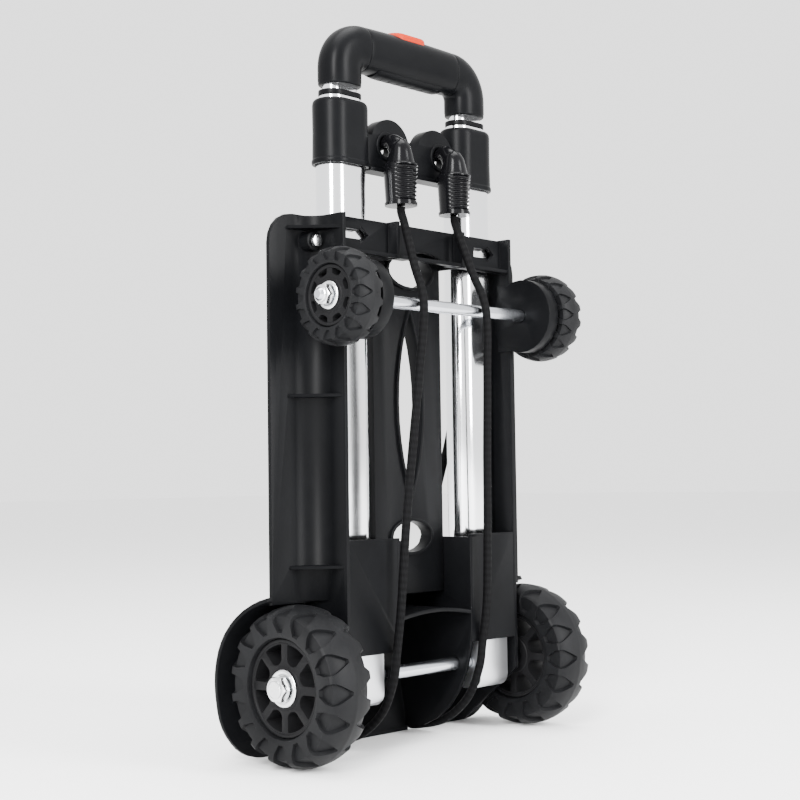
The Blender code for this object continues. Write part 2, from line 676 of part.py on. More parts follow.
def hub_windows(name, place, inner, outer, half):
    """Cutters for the eight openings between the spokes, as one object."""
    shape = bmesh.new()
    middle, reach = (inner + outer) / 2, (outer - inner) / 2
    across = 0.74 * middle * math.sin(math.pi / SPOKES)
    for i in range(SPOKES):
        angle = 2 * math.pi * (i + 0.5) / SPOKES
        made = bmesh.ops.create_cone(shape, cap_ends=True, segments=10, radius1=reach, radius2=reach, depth=4 * half)
        squeeze = Matrix.Diagonal((1, across / reach, 1, 1))
        move = Matrix.Rotation(angle, 4, "Z") @ Matrix.Translation((middle, 0, 0)) @ squeeze
        bmesh.ops.transform(shape, matrix=move, verts=made["verts"])
    bmesh.ops.transform(shape, matrix=place, verts=shape.verts)
    return from_bmesh(name, shape, tool=True)


def make_wheel(kind, side, sizes, materials):
    """One wheel's tyre, hub and bush, its axis along X."""
    radius, half, x, seat, axle, at, boss, hub_half = sizes
    place = facing_x(side * x, at, side)
    turned(name_of(f"{kind}_tyre", side), tyre_profile(radius, seat + GAP, half), place, materials["rubber"])
    bush = axle + 0.0030
    hub = turned(name_of(f"{kind}_hub", side), hub_profile(seat, hub_half, boss, bush + GAP), place,
                 materials["hub"])
    cut(hub, [hub_windows(name_of(f"{kind}_windows", side), place, boss + 0.0035, seat - 0.0065, half)])
    span = sided(side, x - hub_half + 0.0005, x + hub_half - 0.0002)
    ring(name_of(f"{kind}_bush", side), axle + RUN, bush, span, at, materials["steel"], 20)


def hex_nut(name, flats, bore, span, at, material):
    """A plain hexagon nut on an axis along X."""
    corner = flats / math.sqrt(3)
    outline = [(at[0] + y, at[1] + z) for y, z in ellipse(2 * corner, 2 * corner, (0, 0), 6)]
    hole = [(at[0] + y, at[1] + z) for y, z in ellipse(2 * bore, 2 * bore, (0, 0), 20)]
    return prism(name, [outline, hole], span, ALONG_X, material)


def wheel_fasteners(kind, side, sizes, washer_radius, flats, length, materials):
    """The spacer inside a wheel, and the washer and nut outside it."""
    _, _, x, _, axle, at, _, hub_half = sizes
    start = EAR_OUT if kind == "front" else BOX_HALF_WIDTH
    ring(name_of(f"{kind}_spacer", side), axle + GAP, axle + 0.0040, sided(side, start + GAP, x - hub_half - GAP), at,
         materials["plastic"], 20)
    face = x + hub_half + GAP
    ring(name_of(f"{kind}_washer", side), axle + GAP, washer_radius, sided(side, face, face + WASHER_THICKNESS), at,
         materials["zinc"], 24)
    seat = face + WASHER_THICKNESS + GAP
    hex_nut(name_of(f"{kind}_nut", side), flats, axle + GAP, sided(side, seat, seat + length), at, materials["zinc"])


# ---------------------------------------------------------------- the handle
def oval_tube(name, side, width, depth, wall, span, material):
    """A straight aluminium tube of flat-sided oval section."""
    centre = (side * TUBE_X, TUBE_Y)
    outlines = [oval(width, depth, centre), oval(width - 2 * wall, depth - 2 * wall, centre)]
    return prism(name_of(name, side), outlines, span, ALONG_Z, material)


def make_leg(side, material):
    """The foot that joins a tube to the rear axle, with a plug that fills the tube's end."""
    x_low, x_high = sided(side, TUBE_X - LEG_WIDTH / 2, TUBE_X + LEG_WIDTH / 2)
    low, top = REAR_AXLE_Z - LEG_REACH, OUTER_BOTTOM - GAP
    front, back = REAR_AXLE_Y - LEG_DEPTH / 2, REAR_AXLE_Y + LEG_DEPTH / 2
    outline = arc((front + LEG_CORNER, low + LEG_CORNER), LEG_CORNER, 180, 270)
    outline += arc((back - LEG_CORNER, low + LEG_CORNER), LEG_CORNER, 270, 360)
    outline += [(back, top), (front, top)]
    leg = prism(name_of("hinge_leg", side), [outline], (x_low, x_high), ALONG_X, material)
    bore = OUTER_WALL + STAGE_CLEARANCE
    plug = prism(name_of("leg_plug", side),
                 [oval(OUTER_WIDTH - 2 * bore, OUTER_DEPTH - 2 * bore, (side * TUBE_X, TUBE_Y))],
                 (top - 0.012, OUTER_BOTTOM + 0.020), ALONG_Z, tool=True)
    join(leg, [plug])
    at = (REAR_AXLE_Y, REAR_AXLE_Z)
    cut(leg, [rod(name_of("leg_bore", side), REAR_AXLE_RADIUS + RUN, (x_low - 0.01, *at), (x_high + 0.01, *at), 20,
                  tool=True)])
    return leg


def bracket_outline():
    """(x, z) outline of the cross panel with its two round humps."""
    reach = TUBE_X - OUTER_WIDTH / 2
    drop = math.degrees(math.asin((BRACKET_SHOULDER - HUMP_CENTRE_Z) / HUMP_RADIUS))
    right = arc((HUMP_X, HUMP_CENTRE_Z), HUMP_RADIUS, drop, 180 - drop, 12)
    left = [(-x, z) for x, z in reversed(right)]
    return [(-reach, BRACKET_BOTTOM), (reach, BRACKET_BOTTOM), (reach, BRACKET_SHOULDER), *right, *left,
            (-reach, BRACKET_SHOULDER)]


def make_bracket(material):
    """Both top sleeves and the cross panel that carries the cord hooks."""
    front = BRACKET_Y - BRACKET_THICKNESS / 2
    eyes = [ellipse(2 * EYE_RADIUS, 2 * EYE_RADIUS, (side * HOOK_X, HUMP_CENTRE_Z), 20) for side in (-1, 1)]
    bracket = prism("hook_bracket", [bracket_outline(), *eyes], (front, front + BRACKET_THICKNESS), ALONG_Y, material)
    for side in (-1, 1):
        centre = (side * TUBE_X, TUBE_Y)
        grow = 2 * SLEEVE_WALL
        sleeve = prism(name_of("sleeve", side), [oval(OUTER_WIDTH + grow, OUTER_DEPTH + grow, centre)],
                       (SLEEVE_BOTTOM, SLEEVE_TOP), ALONG_Z, tool=True)
        bore = prism(name_of("sleeve_bore", side), [oval(OUTER_WIDTH + 2 * GAP, OUTER_DEPTH + 2 * GAP, centre)],
                     (SLEEVE_BOTTOM - 0.01, OUTER_TOP + GAP), ALONG_Z, tool=True)
        neck = prism(name_of("sleeve_neck", side), [oval(MID_WIDTH + 2 * RUN, MID_DEPTH + 2 * RUN, centre)],
                     (OUTER_TOP - 0.01, SLEEVE_TOP + 0.01), ALONG_Z, tool=True)
        join(bracket, [sleeve])
        cut(bracket, [bore, neck])
    return bracket


def make_stage(side, materials):
    """One side's telescoping tubes with the collars and blocks that guide them."""
    centre = (side * TUBE_X, TUBE_Y)
    oval_tube("outer_tube", side, OUTER_WIDTH, OUTER_DEPTH, OUTER_WALL, (OUTER_BOTTOM, OUTER_TOP), materials["tube"])
    oval_tube("mid_tube", side, MID_WIDTH, MID_DEPTH, MID_WALL, (MID_BOTTOM, MID_TOP), materials["tube"])
    oval_tube("inner_tube", side, INNER_WIDTH, INNER_DEPTH, INNER_WALL, (INNER_BOTTOM, INNER_TOP), materials["tube"])
    bore = 2 * RUN
    collar = [oval(MID_WIDTH + 2 * COLLAR_PROUD, MID_DEPTH + 2 * COLLAR_PROUD, centre),
              oval(INNER_WIDTH + bore, INNER_DEPTH + bore, centre)]
    low = MID_TOP + GAP
    prism(name_of("mid_collar", side), collar, (low, low + COLLAR_HEIGHT), ALONG_Z, materials["plastic"])
    glide = prism(name_of("mid_glide", side), [oval(MID_WIDTH - 0.0002, MID_DEPTH - 0.0002, centre)],
                  (MID_BOTTOM - 0.010, MID_BOTTOM - GAP), ALONG_Z, materials["plastic"])
    plug = prism(name_of("mid_glide_plug", side),
                 [oval(INNER_WIDTH - 2 * GAP, INNER_DEPTH - 2 * GAP, centre)],
                 (MID_BOTTOM - 0.002, MID_BOTTOM + 0.006), ALONG_Z, tool=True)
    join(glide, [plug])
    lock = prism(name_of("lock_block", side), [oval(INNER_WIDTH - 0.0002, INNER_DEPTH - 0.0002, centre)],
                 (INNER_BOTTOM - 0.010, INNER_BOTTOM - GAP), ALONG_Z, materials["plastic"])
    inside = 2 * (INNER_WALL + GAP)
    tongue = prism(name_of("lock_tongue", side), [oval(INNER_WIDTH - inside, INNER_DEPTH - inside, centre)],
                   (INNER_BOTTOM - 0.002, INNER_BOTTOM + 0.005), ALONG_Z, tool=True)
    join(lock, [tongue])


def section(width, depth, count=24):
    """Points of the grip's rounded cross section, as (across, deep) pairs of a superellipse."""
    points = []
    for i in range(count):
        angle = 2 * math.pi * i / count
        c, s = math.cos(angle), math.sin(angle)
        points.append((width / 2 * math.copysign(abs(c) ** 0.85, c), depth / 2 * math.copysign(abs(s) ** 0.85, s)))
    return points


def sweep(name, stations, material, tool=False):
    """A solid lofted through (centre x, centre z, tilt) stations, its section deep along Y."""
    shape = bmesh.new()
    loops = []
    for x, z, tilt, width, depth in stations:
        across = Vector((math.cos(tilt), 0, math.sin(tilt)))
        loops.append([shape.verts.new(Vector((x, TUBE_Y + d, z)) + across * a) for a, d in section(width, depth)])
    for first, second in zip(loops, loops[1:]):
        for i in range(len(first)):
            j = (i + 1) % len(first)
            shape.faces.new((first[i], first[j], second[j], second[i]))
    shape.faces.new(list(reversed(loops[0])))
    shape.faces.new(loops[-1])
    bmesh.ops.recalc_face_normals(shape, faces=shape.faces)
    return from_bmesh(name, shape, material, tool)


def elbow_stations(side):
    """Stations from an elbow's open lower end round to its seam with the grip."""
    x, bend = TUBE_X, ELBOW_BEND
    knee = GRIP_CENTRE_Z - bend
    stations = [(side * x, ELBOW_BOTTOM, 0, GRIP_WIDTH * 0.96, GRIP_DEPTH * 0.96),
                (side * x, ELBOW_BOTTOM + 0.003, 0, GRIP_WIDTH, GRIP_DEPTH)]
    for i in range(7):
        turn = math.radians(90) * i / 6
        cx = x - bend + bend * math.cos(turn)
        stations.append((side * cx, knee + bend * math.sin(turn), side * turn, GRIP_WIDTH, GRIP_DEPTH))
    stations.append((side * (GRIP_HALF_LENGTH + GAP / 2), GRIP_CENTRE_Z, side * math.radians(90), GRIP_WIDTH,
                     GRIP_DEPTH))
    return stations


def make_elbow(side, material):
    """One hollow corner of the grip, which seats the inner tube and clears the release rod."""
    elbow = sweep(name_of("grip_elbow", side), elbow_stations(side), material)
    x, centre = side * TUBE_X, (side * TUBE_X, TUBE_Y)
    socket = prism(name_of("elbow_socket", side), [oval(INNER_WIDTH + 2 * GAP, INNER_DEPTH + 2 * GAP, centre)],
                   (ELBOW_BOTTOM - 0.01, INNER_TOP + GAP), ALONG_Z, tool=True)
    well = rod(name_of("elbow_well", side), GRIP_BORE, (x, TUBE_Y, ELBOW_BOTTOM), (x, TUBE_Y, GRIP_CENTRE_Z), 20,
               tool=True)
    bore = rod(name_of("elbow_bore", side), GRIP_BORE, (side * (GRIP_HALF_LENGTH - 0.01), TUBE_Y, GRIP_CENTRE_Z),
               (x + side * (YOKE_OVERRUN + GAP), TUBE_Y, GRIP_CENTRE_Z), 20, tool=True)
    cut(elbow, [socket, well, bore])
    return elbow


def make_grip(material):
    """The straight middle of the grip: bored for the yoke, slotted for the button."""
    stations = []
    for i in range(9):
        x = -GRIP_HALF_LENGTH + GAP / 2 + (2 * GRIP_HALF_LENGTH - GAP) * i / 8
        rise = GRIP_ARCH * (1 - (x / GRIP_HALF_LENGTH) ** 2)
        stations.append((x, GRIP_CENTRE_Z + rise / 2, math.radians(90), GRIP_WIDTH + rise, GRIP_DEPTH))
    grip = sweep("grip", stations, material)
    reach = GRIP_HALF_LENGTH + 0.01
    bore = rod("grip_bore", GRIP_BORE, (-reach, TUBE_Y, GRIP_CENTRE_Z), (reach, TUBE_Y, GRIP_CENTRE_Z), 20, tool=True)
    slot = prism("button_slot", [oval(BUTTON_LENGTH + 2 * RUN, BUTTON_WIDTH + 2 * RUN, (0, TUBE_Y))],
                 (GRIP_CENTRE_Z, GRIP_CENTRE_Z + 0.03), ALONG_Z, tool=True)
    seat = rod("spring_seat", SPRING_RADIUS + 0.0012, (0, TUBE_Y, GRIP_CENTRE_Z - GRIP_BORE - 0.0030),
               (0, TUBE_Y, GRIP_CENTRE_Z), 16, tool=True)
    cut(grip, [bore, slot, seat])
    return grip


def make_release(materials):
    """The button, the yoke under it, the two long rods and the return spring."""
    top = GRIP_CENTRE_Z + GRIP_WIDTH / 2 + GRIP_ARCH + BUTTON_PROUD
    yoke_z = GRIP_CENTRE_Z + GRIP_BORE - YOKE_RADIUS - 2 * GAP
    low = yoke_z + YOKE_RADIUS + GAP
    crown = 0.0016
    button = prism("release_button", [oval(BUTTON_LENGTH, BUTTON_WIDTH, (0, TUBE_Y))], (low, top), ALONG_Z,
                   materials["button"])
    soften = button.modifiers.new("soften", "BEVEL")
    soften.width = crown
    soften.segments = 2
    soften.limit_method = "ANGLE"
    soften.angle_limit = math.radians(60)
    yoke = rod("release_yoke", YOKE_RADIUS, (-TUBE_X - YOKE_OVERRUN, TUBE_Y, yoke_z),
               (TUBE_X + YOKE_OVERRUN, TUBE_Y, yoke_z), 14, materials["plastic"])
    for side in (-1, 1):
        x = side * TUBE_X
        rod(name_of("release_rod", side), ROD_RADIUS, (x, TUBE_Y, ROD_BOTTOM),
            (x, TUBE_Y, yoke_z - YOKE_RADIUS - GAP), 12, materials["steel"])
    floor = GRIP_CENTRE_Z - GRIP_BORE - 0.0030 + SPRING_WIRE + GAP
    height = yoke_z - YOKE_RADIUS - GAP - SPRING_WIRE - floor
    count = SPRING_TURNS * 14
    coil = [(SPRING_RADIUS * math.cos(2 * math.pi * i / 14), TUBE_Y + SPRING_RADIUS * math.sin(2 * math.pi * i / 14),
             floor + height * i / count) for i in range(count + 1)]
    tube("return_spring", coil, SPRING_WIRE, materials["steel"])
    return yoke


def make_hook(side, material):
    """A cord hook: a ribbed boot with a curl through its eye in the bracket."""
    x = side * HOOK_X
    ribs = 5
    height = BOOT_TOP - BOOT_BOTTOM
    profile = [(0.0062, height + 0.0035), (0.0085, height)]
    for i in range(ribs):
        z = height * (1 - (i + 0.5) / ribs)
        radius = BOOT_RADIUS - 0.0032 * i / (ribs - 1)
        pitch = height / ribs
        profile += [(radius, z + 0.30 * pitch), (radius, z - 0.25 * pitch), (radius - 0.0014, z - 0.38 * pitch)]
    profile += [(CORD_RADIUS + 0.0022, 0.0), (0.0, 0.0), (0.0, height + 0.0035)]
    boot = turned(name_of("cord_hook", side), profile, Matrix.Translation((x, HOOK_Y, BOOT_BOTTOM)), material, 20)
    eye, back = HUMP_CENTRE_Z, BRACKET_Y + BRACKET_THICKNESS / 2 + HOOK_WIRE + 0.0025
    route = [(x, HOOK_Y, BOOT_TOP - 0.004), (x, HOOK_Y, BOOT_TOP + 0.008), (x, HOOK_Y + 0.002, eye - 0.003),
             (x, HOOK_Y + 0.008, eye + 0.0025), (x, BRACKET_Y - 0.003, eye + 0.0030),
             (x, BRACKET_Y + 0.003, eye + 0.0022), (x, back - 0.0015, eye - 0.0010), (x, back, eye - 0.0070)]
    curl = as_mesh(tube(name_of("hook_curl", side), smooth_route(route, 0.0042), HOOK_WIRE, material, 3))
    join(boot, [curl])
    return boot


# ---------------------------------------------------------------- cords and their anchors
def cord_route(side):
    """A cord's points from its hook, over the front axle, round the lower edge and up the load side."""
    axle_front = FRONT_AXLE_SETBACK + FRONT_AXLE_RADIUS + CORD_RADIUS + CORD_CLEARANCE
    arch_back = BACK_REACH + CORD_RADIUS + CORD_CLEARANCE
    rim_front = BOX_DEPTH + CORD_RADIUS - GAP / 3
    places = [
        (HOOK_X, -HOOK_SETBACK, BOOT_BOTTOM - GAP),
        (HOOK_X, -HOOK_SETBACK, BOOT_BOTTOM - 0.0045),
        (0.0297, -0.0315, raised(0.3775)),
        (0.0320, -0.0420, raised(0.3480)),
        (0.0345, -axle_front, FRONT_AXLE_Z),
        (0.0375, -0.0508, raised(0.2700)),
        (0.0415, -0.0460, raised(0.2100)),
        (0.0448, -0.0425, raised(0.1600)),
        (0.0470, -0.0390, 0.1050),
        (0.0470, -rim_front, 0.0710),
        (0.0468, -0.0305, 0.0520),
        (0.0465, -0.0190, 0.0290),
        (0.0462, 0.0030, 0.0115),
        (0.0460, 0.0290, 0.0046),
        (0.0460, 0.0420, 0.0044),
        (0.0458, 0.0480, 0.0150),
        (0.0455, arch_back - 0.0008, 0.0420),
        (0.0460, arch_back - 0.0002, 0.0620),
        (0.0490, 0.0465, 0.0950),
        (0.0590, 0.0340, raised(0.1480)),
        (0.0715, 0.0240, raised(0.2050)),
        (0.0880, 0.0150, raised(0.2850)),
        (0.0988, 0.0105, raised(0.3350)),
        (ANCHOR_X, 0.0100, ANCHOR_Z - ANCHOR_HEAD_RADIUS - 0.0082),
        (ANCHOR_X, 0.0100, ANCHOR_Z - ANCHOR_HEAD_RADIUS - 0.0022 - 2 * GAP),
    ]
    return [(side * x, DECK_Y + y, z) for x, y, z in places]


def make_cord(side, materials):
    """One elastic cord and what holds its upper end on the load side."""
    route = cord_route(side)
    points = [route[0], *smooth_route(route[1:-1], CORD_STEP), route[-1]]
    tube(name_of("bungee_cord", side), points, CORD_RADIUS, materials["cord"])
    x, back = side * ANCHOR_X, DECK_Y + DECK_WALL
    anchor = rod(name_of("cord_anchor", side), ANCHOR_HEAD_RADIUS + 0.0022, (x, back + GAP, ANCHOR_Z),
                 (x, back + ANCHOR_HEIGHT, ANCHOR_Z), 24, materials["plastic"])
    cut(anchor, [rod(name_of("anchor_cut", side), ANCHOR_BOLT_RADIUS + GAP, (x, back - 0.01, ANCHOR_Z),
                     (x, back + 0.03, ANCHOR_Z), 16, tool=True)])
    front = DECK_Y - ANCHOR_BOSS_DEPTH - GAP
    bolt = rod(name_of("anchor_bolt", side), ANCHOR_BOLT_RADIUS, (x, front - ANCHOR_HEAD_HEIGHT / 2, ANCHOR_Z),
               (x, back + ANCHOR_HEIGHT + JOIN, ANCHOR_Z), 16, materials["zinc"])
    head = hex_head(name_of("bolt_head", side), x, front - ANCHOR_HEAD_HEIGHT, front)
    join(bolt, [head])


def hex_head(name, x, low, high):
    """A hexagon head on an axis along Y."""
    outline = ellipse(2 * ANCHOR_HEAD_RADIUS, 2 * ANCHOR_HEAD_RADIUS, (x, ANCHOR_Z), 6)
    return prism(name, [outline], (low, high), ALONG_Y, tool=True)


# ---------------------------------------------------------------- everything
def make_materials():
    """The object's finishes."""
    return {
        "plastic": make_material("black_plastic", (0.020, 0.020, 0.022), 0.45),
        "gloss": make_material("gloss_black_plastic", (0.012, 0.012, 0.013), 0.20),
        "hub": make_material("hub_plastic", (0.018, 0.018, 0.019), 0.50),
        "rubber": make_material("tyre_rubber", (0.030, 0.030, 0.032), 0.65),
        "tube": make_material("polished_aluminium", (0.82, 0.83, 0.85), 0.18, 1.0),
        "leg": make_material("satin_aluminium", (0.62, 0.63, 0.65), 0.35, 1.0),
        "steel": make_material("satin_steel", (0.55, 0.56, 0.58), 0.30, 1.0),
        "zinc": make_material("bright_zinc", (0.78, 0.79, 0.80), 0.22, 1.0),
        "cord": make_material("cord_sheath", (0.015, 0.015, 0.016), 0.60),
        "button": make_material("red_button", (0.90, 0.12, 0.03), 0.30),
    }


def main():
    """Builds the hand truck."""
    clear_scene()
    materials = make_materials()
    make_deck(materials["plastic"])
    rear_at, front_at = (REAR_AXLE_Y, REAR_AXLE_Z), (FRONT_AXLE_Y, FRONT_AXLE_Z)
    make_axle("rear_axle", REAR_AXLE_RADIUS, REAR_AXLE_HALF_LENGTH, rear_at, materials["steel"])
    make_axle("front_axle", FRONT_AXLE_RADIUS, FRONT_AXLE_HALF_LENGTH, front_at, materials["steel"])
    rear = (LARGE_RADIUS, LARGE_HALF_WIDTH, LARGE_MIDDLE_X, LARGE_SEAT_RADIUS, REAR_AXLE_RADIUS, rear_at, 0.0135,
            LARGE_HUB_HALF)
    front = (SMALL_RADIUS, SMALL_HALF_WIDTH, SMALL_MIDDLE_X, SMALL_SEAT_RADIUS, FRONT_AXLE_RADIUS, front_at, 0.0102,
             SMALL_HUB_HALF)
    for side in (-1, 1):
        make_wheel("rear", side, rear, materials)
        make_wheel("front", side, front, materials)
        wheel_fasteners("rear", side, rear, WASHER_RADIUS_LARGE, NUT_FLATS_LARGE,
                        NUT_LENGTH_LARGE, materials)
        wheel_fasteners("front", side, front, WASHER_RADIUS_SMALL, NUT_FLATS_SMALL,
                        NUT_LENGTH_SMALL, materials)
        make_leg(side, materials["leg"])
        make_stage(side, materials)
        make_elbow(side, materials["plastic"])
        make_hook(side, materials["gloss"])
        make_cord(side, materials)
    make_bracket(materials["plastic"])
    make_grip(materials["plastic"])
    make_release(materials)


main()
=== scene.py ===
"""The looks of a folding hand truck, folded and upright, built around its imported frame.

Lengths are metres in the frame's axes: X along the axles, Y from the ribbed underside to the load
side, Z up.
"""

import sys
import logging
import math
from dataclasses import dataclass
from enum import Enum
from typing import Callable, ClassVar, Iterable, Sequence

import bpy
from mathutils import Matrix, Vector


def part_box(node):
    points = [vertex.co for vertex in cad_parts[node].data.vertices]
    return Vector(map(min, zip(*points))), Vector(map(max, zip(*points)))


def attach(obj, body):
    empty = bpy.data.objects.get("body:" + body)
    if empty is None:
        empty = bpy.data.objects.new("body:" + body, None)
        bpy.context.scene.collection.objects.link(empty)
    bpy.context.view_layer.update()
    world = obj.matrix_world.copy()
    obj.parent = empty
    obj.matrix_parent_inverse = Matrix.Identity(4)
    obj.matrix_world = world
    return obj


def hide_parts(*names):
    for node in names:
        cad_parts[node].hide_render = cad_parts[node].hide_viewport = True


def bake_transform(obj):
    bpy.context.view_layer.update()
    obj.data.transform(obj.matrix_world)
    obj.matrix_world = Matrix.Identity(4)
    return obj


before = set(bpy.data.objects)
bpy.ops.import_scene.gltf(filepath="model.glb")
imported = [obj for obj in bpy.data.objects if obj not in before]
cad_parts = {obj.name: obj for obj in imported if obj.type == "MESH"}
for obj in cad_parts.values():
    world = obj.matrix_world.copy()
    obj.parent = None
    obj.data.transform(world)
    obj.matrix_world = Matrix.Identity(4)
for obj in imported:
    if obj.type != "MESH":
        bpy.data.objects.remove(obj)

LOG = logging.getLogger("hand_truck")
Point = tuple[float, float]
Place = tuple[float, float, float]
TURN = 2 * math.pi
TUBE_PROUD = 0.0183      # from the outer tubes' front back to the plane that the deck's own measures start from
PANEL_SETBACK = 0.0043   # from the outer tubes' front back to the cross bracket's panel
PANEL_MIDDLE = 0.0093    # from the outer tubes' front back to the middle of that panel
EYE_HEIGHT = 0.4375      # the middle of the bracket's two eyes


class Side(Enum):
    """Which half of the hand truck a piece is on."""

    LEFT = -1
    RIGHT = 1

    @property
    def word(self) -> str:
        """The side's name as the frame's nodes spell it."""
        return self.name.lower()


# ------------------------------------------------------------------ shader expressions
class Signal:
    """A shader socket that Python operators work on."""

    def __init__(self, graph: "Graph", socket: bpy.types.NodeSocket) -> None:
        """Wraps one output socket of a graph."""
        self.graph = graph
        self.socket = socket

    def math(self, operation: str, *values: "Signal | float") -> "Signal":
        """Adds a Math node on this signal and further values."""
        inputs = dict(enumerate((self, *values)))
        return self.graph.node("ShaderNodeMath", {"operation": operation}, inputs)

    def __add__(self, other: "Signal | float") -> "Signal":
        """Sum."""
        return self.math("ADD", other)

    __radd__ = __add__

    def __mul__(self, other: "Signal | float") -> "Signal":
        """Product."""
        return self.math("MULTIPLY", other)

    __rmul__ = __mul__

    def __sub__(self, other: "Signal | float") -> "Signal":
        """Difference."""
        return self.math("SUBTRACT", other)

    def __rsub__(self, other: float) -> "Signal":
        """A number less this signal."""
        return self.math("MULTIPLY", -1.0).math("ADD", other)

    def __truediv__(self, other: "Signal | float") -> "Signal":
        """Quotient."""
        return self.math("DIVIDE", other)

    def __pow__(self, other: float) -> "Signal":
        """Power."""
        return self.math("POWER", other)

    def sine(self) -> "Signal":
        """Sine, in radians."""
        return self.math("SINE")

    def clamped(self) -> "Signal":
        """This signal kept between 0 and 1."""
        return self.graph.node("ShaderNodeClamp", {}, {"Value": self})


class Graph:
    """One material's node tree, built from expressions."""

    def __init__(self, name: str) -> None:
        """Makes an empty material with a Principled BSDF."""
        self.material = bpy.data.materials.new(name)
        self.material.use_nodes = True
        self.nodes = self.material.node_tree.nodes
        self.links = self.material.node_tree.links
        self.shader = self.nodes["Principled BSDF"]

    def node(self, kind: str, settings: dict, inputs: dict, output: int | str = 0) -> Signal:
        """Adds any node.

        Args:
            kind: the node's type name.
            settings: properties set first; "stops" gives a colour ramp's (place, grey or colour) pairs.
            inputs: values or signals by socket name or number.
            output: the output socket's number or name.

        Returns:
            The output as a signal.
        """
        made = self.nodes.new(kind)
        for key, value in settings.items():
            if key == "stops":
                self._ramp(made, value)
            else:
                setattr(made, key, value)
        for key, value in inputs.items():
            self.feed(made.inputs[key], value)
        return Signal(self, made.outputs[output])

    def feed(self, socket: bpy.types.NodeSocket, value: object) -> None:
        """Links a signal to a socket, or sets the socket's own value."""
        if isinstance(value, Signal):
            self.links.new(value.socket, socket)
        else:
            socket.default_value = value

    @staticmethod
    def _ramp(made: bpy.types.Node, stops: Sequence[tuple[float, float]]) -> None:
        """Sets a colour ramp's grey stops."""
        elements = made.color_ramp.elements
        while len(elements) < len(stops):
            elements.new(0.5)
        for element, (place, grey) in zip(elements, stops):
            element.position = place
            element.color = (grey, grey, grey, 1)

    def coordinates(self, scale: Place, output: str = "Object") -> Signal:
        """Object (or UV) coordinates, scaled."""
        raw = self.node("ShaderNodeTexCoord", {}, {}, output)
        return self.node("ShaderNodeMapping", {}, {"Vector": raw, "Scale": scale})

    def noise(self, where: Signal, scale: float, detail: float = 3.0, rough: float = 0.55) -> Signal:
        """Fractal noise from 0 to 1."""
        inputs = {"Vector": where, "Scale": scale, "Detail": detail, "Roughness": rough}
        return self.node("ShaderNodeTexNoise", {}, inputs)

    def ramp(self, value: Signal, *stops: tuple[float, float]) -> Signal:
        """Maps a signal through grey stops."""
        return self.node("ShaderNodeValToRGB", {"stops": stops}, {"Fac": value})

    def blend(self, factor: Signal, low: Place, high: Place) -> Signal:
        """A colour between two by a factor."""
        inputs = {"Factor": factor, "A": (*low, 1), "B": (*high, 1)}
        settings = {"data_type": "RGBA"}
        made = self.nodes.new("ShaderNodeMix")
        for key, value in settings.items():
            setattr(made, key, value)
        sockets = {"Factor": made.inputs[0], "A": made.inputs[6], "B": made.inputs[7]}
        for key, value in inputs.items():
            self.feed(sockets[key], value)
        return Signal(self, made.outputs[2])

    def edges(self, radius: float) -> Signal:
        """A normal that rounds sharp edges over a radius."""
        return self.node("ShaderNodeBevel", {"samples": 4}, {"Radius": radius})

    def bump(self, height: Signal, distance: float, strength: float = 1.0,
             normal: Signal | None = None) -> Signal:
        """A normal bumped by a height."""
        inputs = {"Height": height, "Distance": distance, "Strength": strength}
        if normal:
            inputs["Normal"] = normal
        return self.node("ShaderNodeBump", {}, inputs)

    def finish(self, **sockets: object) -> bpy.types.Material:
        """Feeds the shader's sockets by name, with underscores for spaces."""
        for key, value in sockets.items():
            self.feed(self.shader.inputs[key.replace("_", " ")], value)
        return self.material


# ------------------------------------------------------------------ finishes
@dataclass(frozen=True)
class MouldedPlastic:
    """Black moulded plastic with a fine spark-eroded grain and faint handling marks."""

    name: str
    colour: Place = (0.0018, 0.0019, 0.0022)
    roughness: float = 0.34
    grain: float = 0.00004
    edge: float = 0.0

    def make(self) -> bpy.types.Material:
        """Builds the material."""
        g = Graph(self.name)
        where = g.coordinates((1, 1, 1))
        cloud = g.noise(where, 14, 4)
        grain = g.noise(where, 1500, 2)
        swirl = g.noise(where, 90, 5, 0.7)
        rough = (cloud - 0.5) * 0.16 + (swirl - 0.5) * 0.10 + self.roughness
        lift = tuple(min(1.0, c * 1.7) for c in self.colour)
        tone = g.blend(g.ramp(cloud * 0.7 + swirl * 0.3, (0.35, 0.0), (0.75, 1.0)), self.colour, lift)
        base = g.edges(self.edge) if self.edge else None
        return g.finish(Base_Color=tone, Roughness=rough.clamped(),
                        Normal=g.bump(grain, self.grain, 0.5, base),
                        Specular_IOR_Level=0.05)


@dataclass(frozen=True)
class HardRubber:
    """Dark grey solid tyre rubber, dull, with dust in its grain."""

    name: str
    colour: Place = (0.0034, 0.0035, 0.0039)
    dusty: Place = (0.0066, 0.0068, 0.0074)
    roughness: float = 0.46

    def make(self) -> bpy.types.Material:
        """Builds the material."""
        g = Graph(self.name)
        where = g.coordinates((1, 1, 1))
        patch = g.noise(where, 45, 5, 0.6)
        speck = g.noise(where, 1100, 3)
        dust = g.ramp(patch * 0.6 + speck * 0.4, (0.42, 0.0), (0.68, 1.0))
        rough = dust * 0.16 + self.roughness
        height = speck * 0.6 + g.noise(where, 420, 2) * 0.4
        return g.finish(Base_Color=g.blend(dust, self.colour, self.dusty), Roughness=rough.clamped(),
                        Normal=g.bump(height, 0.00010, 0.5), Specular_IOR_Level=0.08)


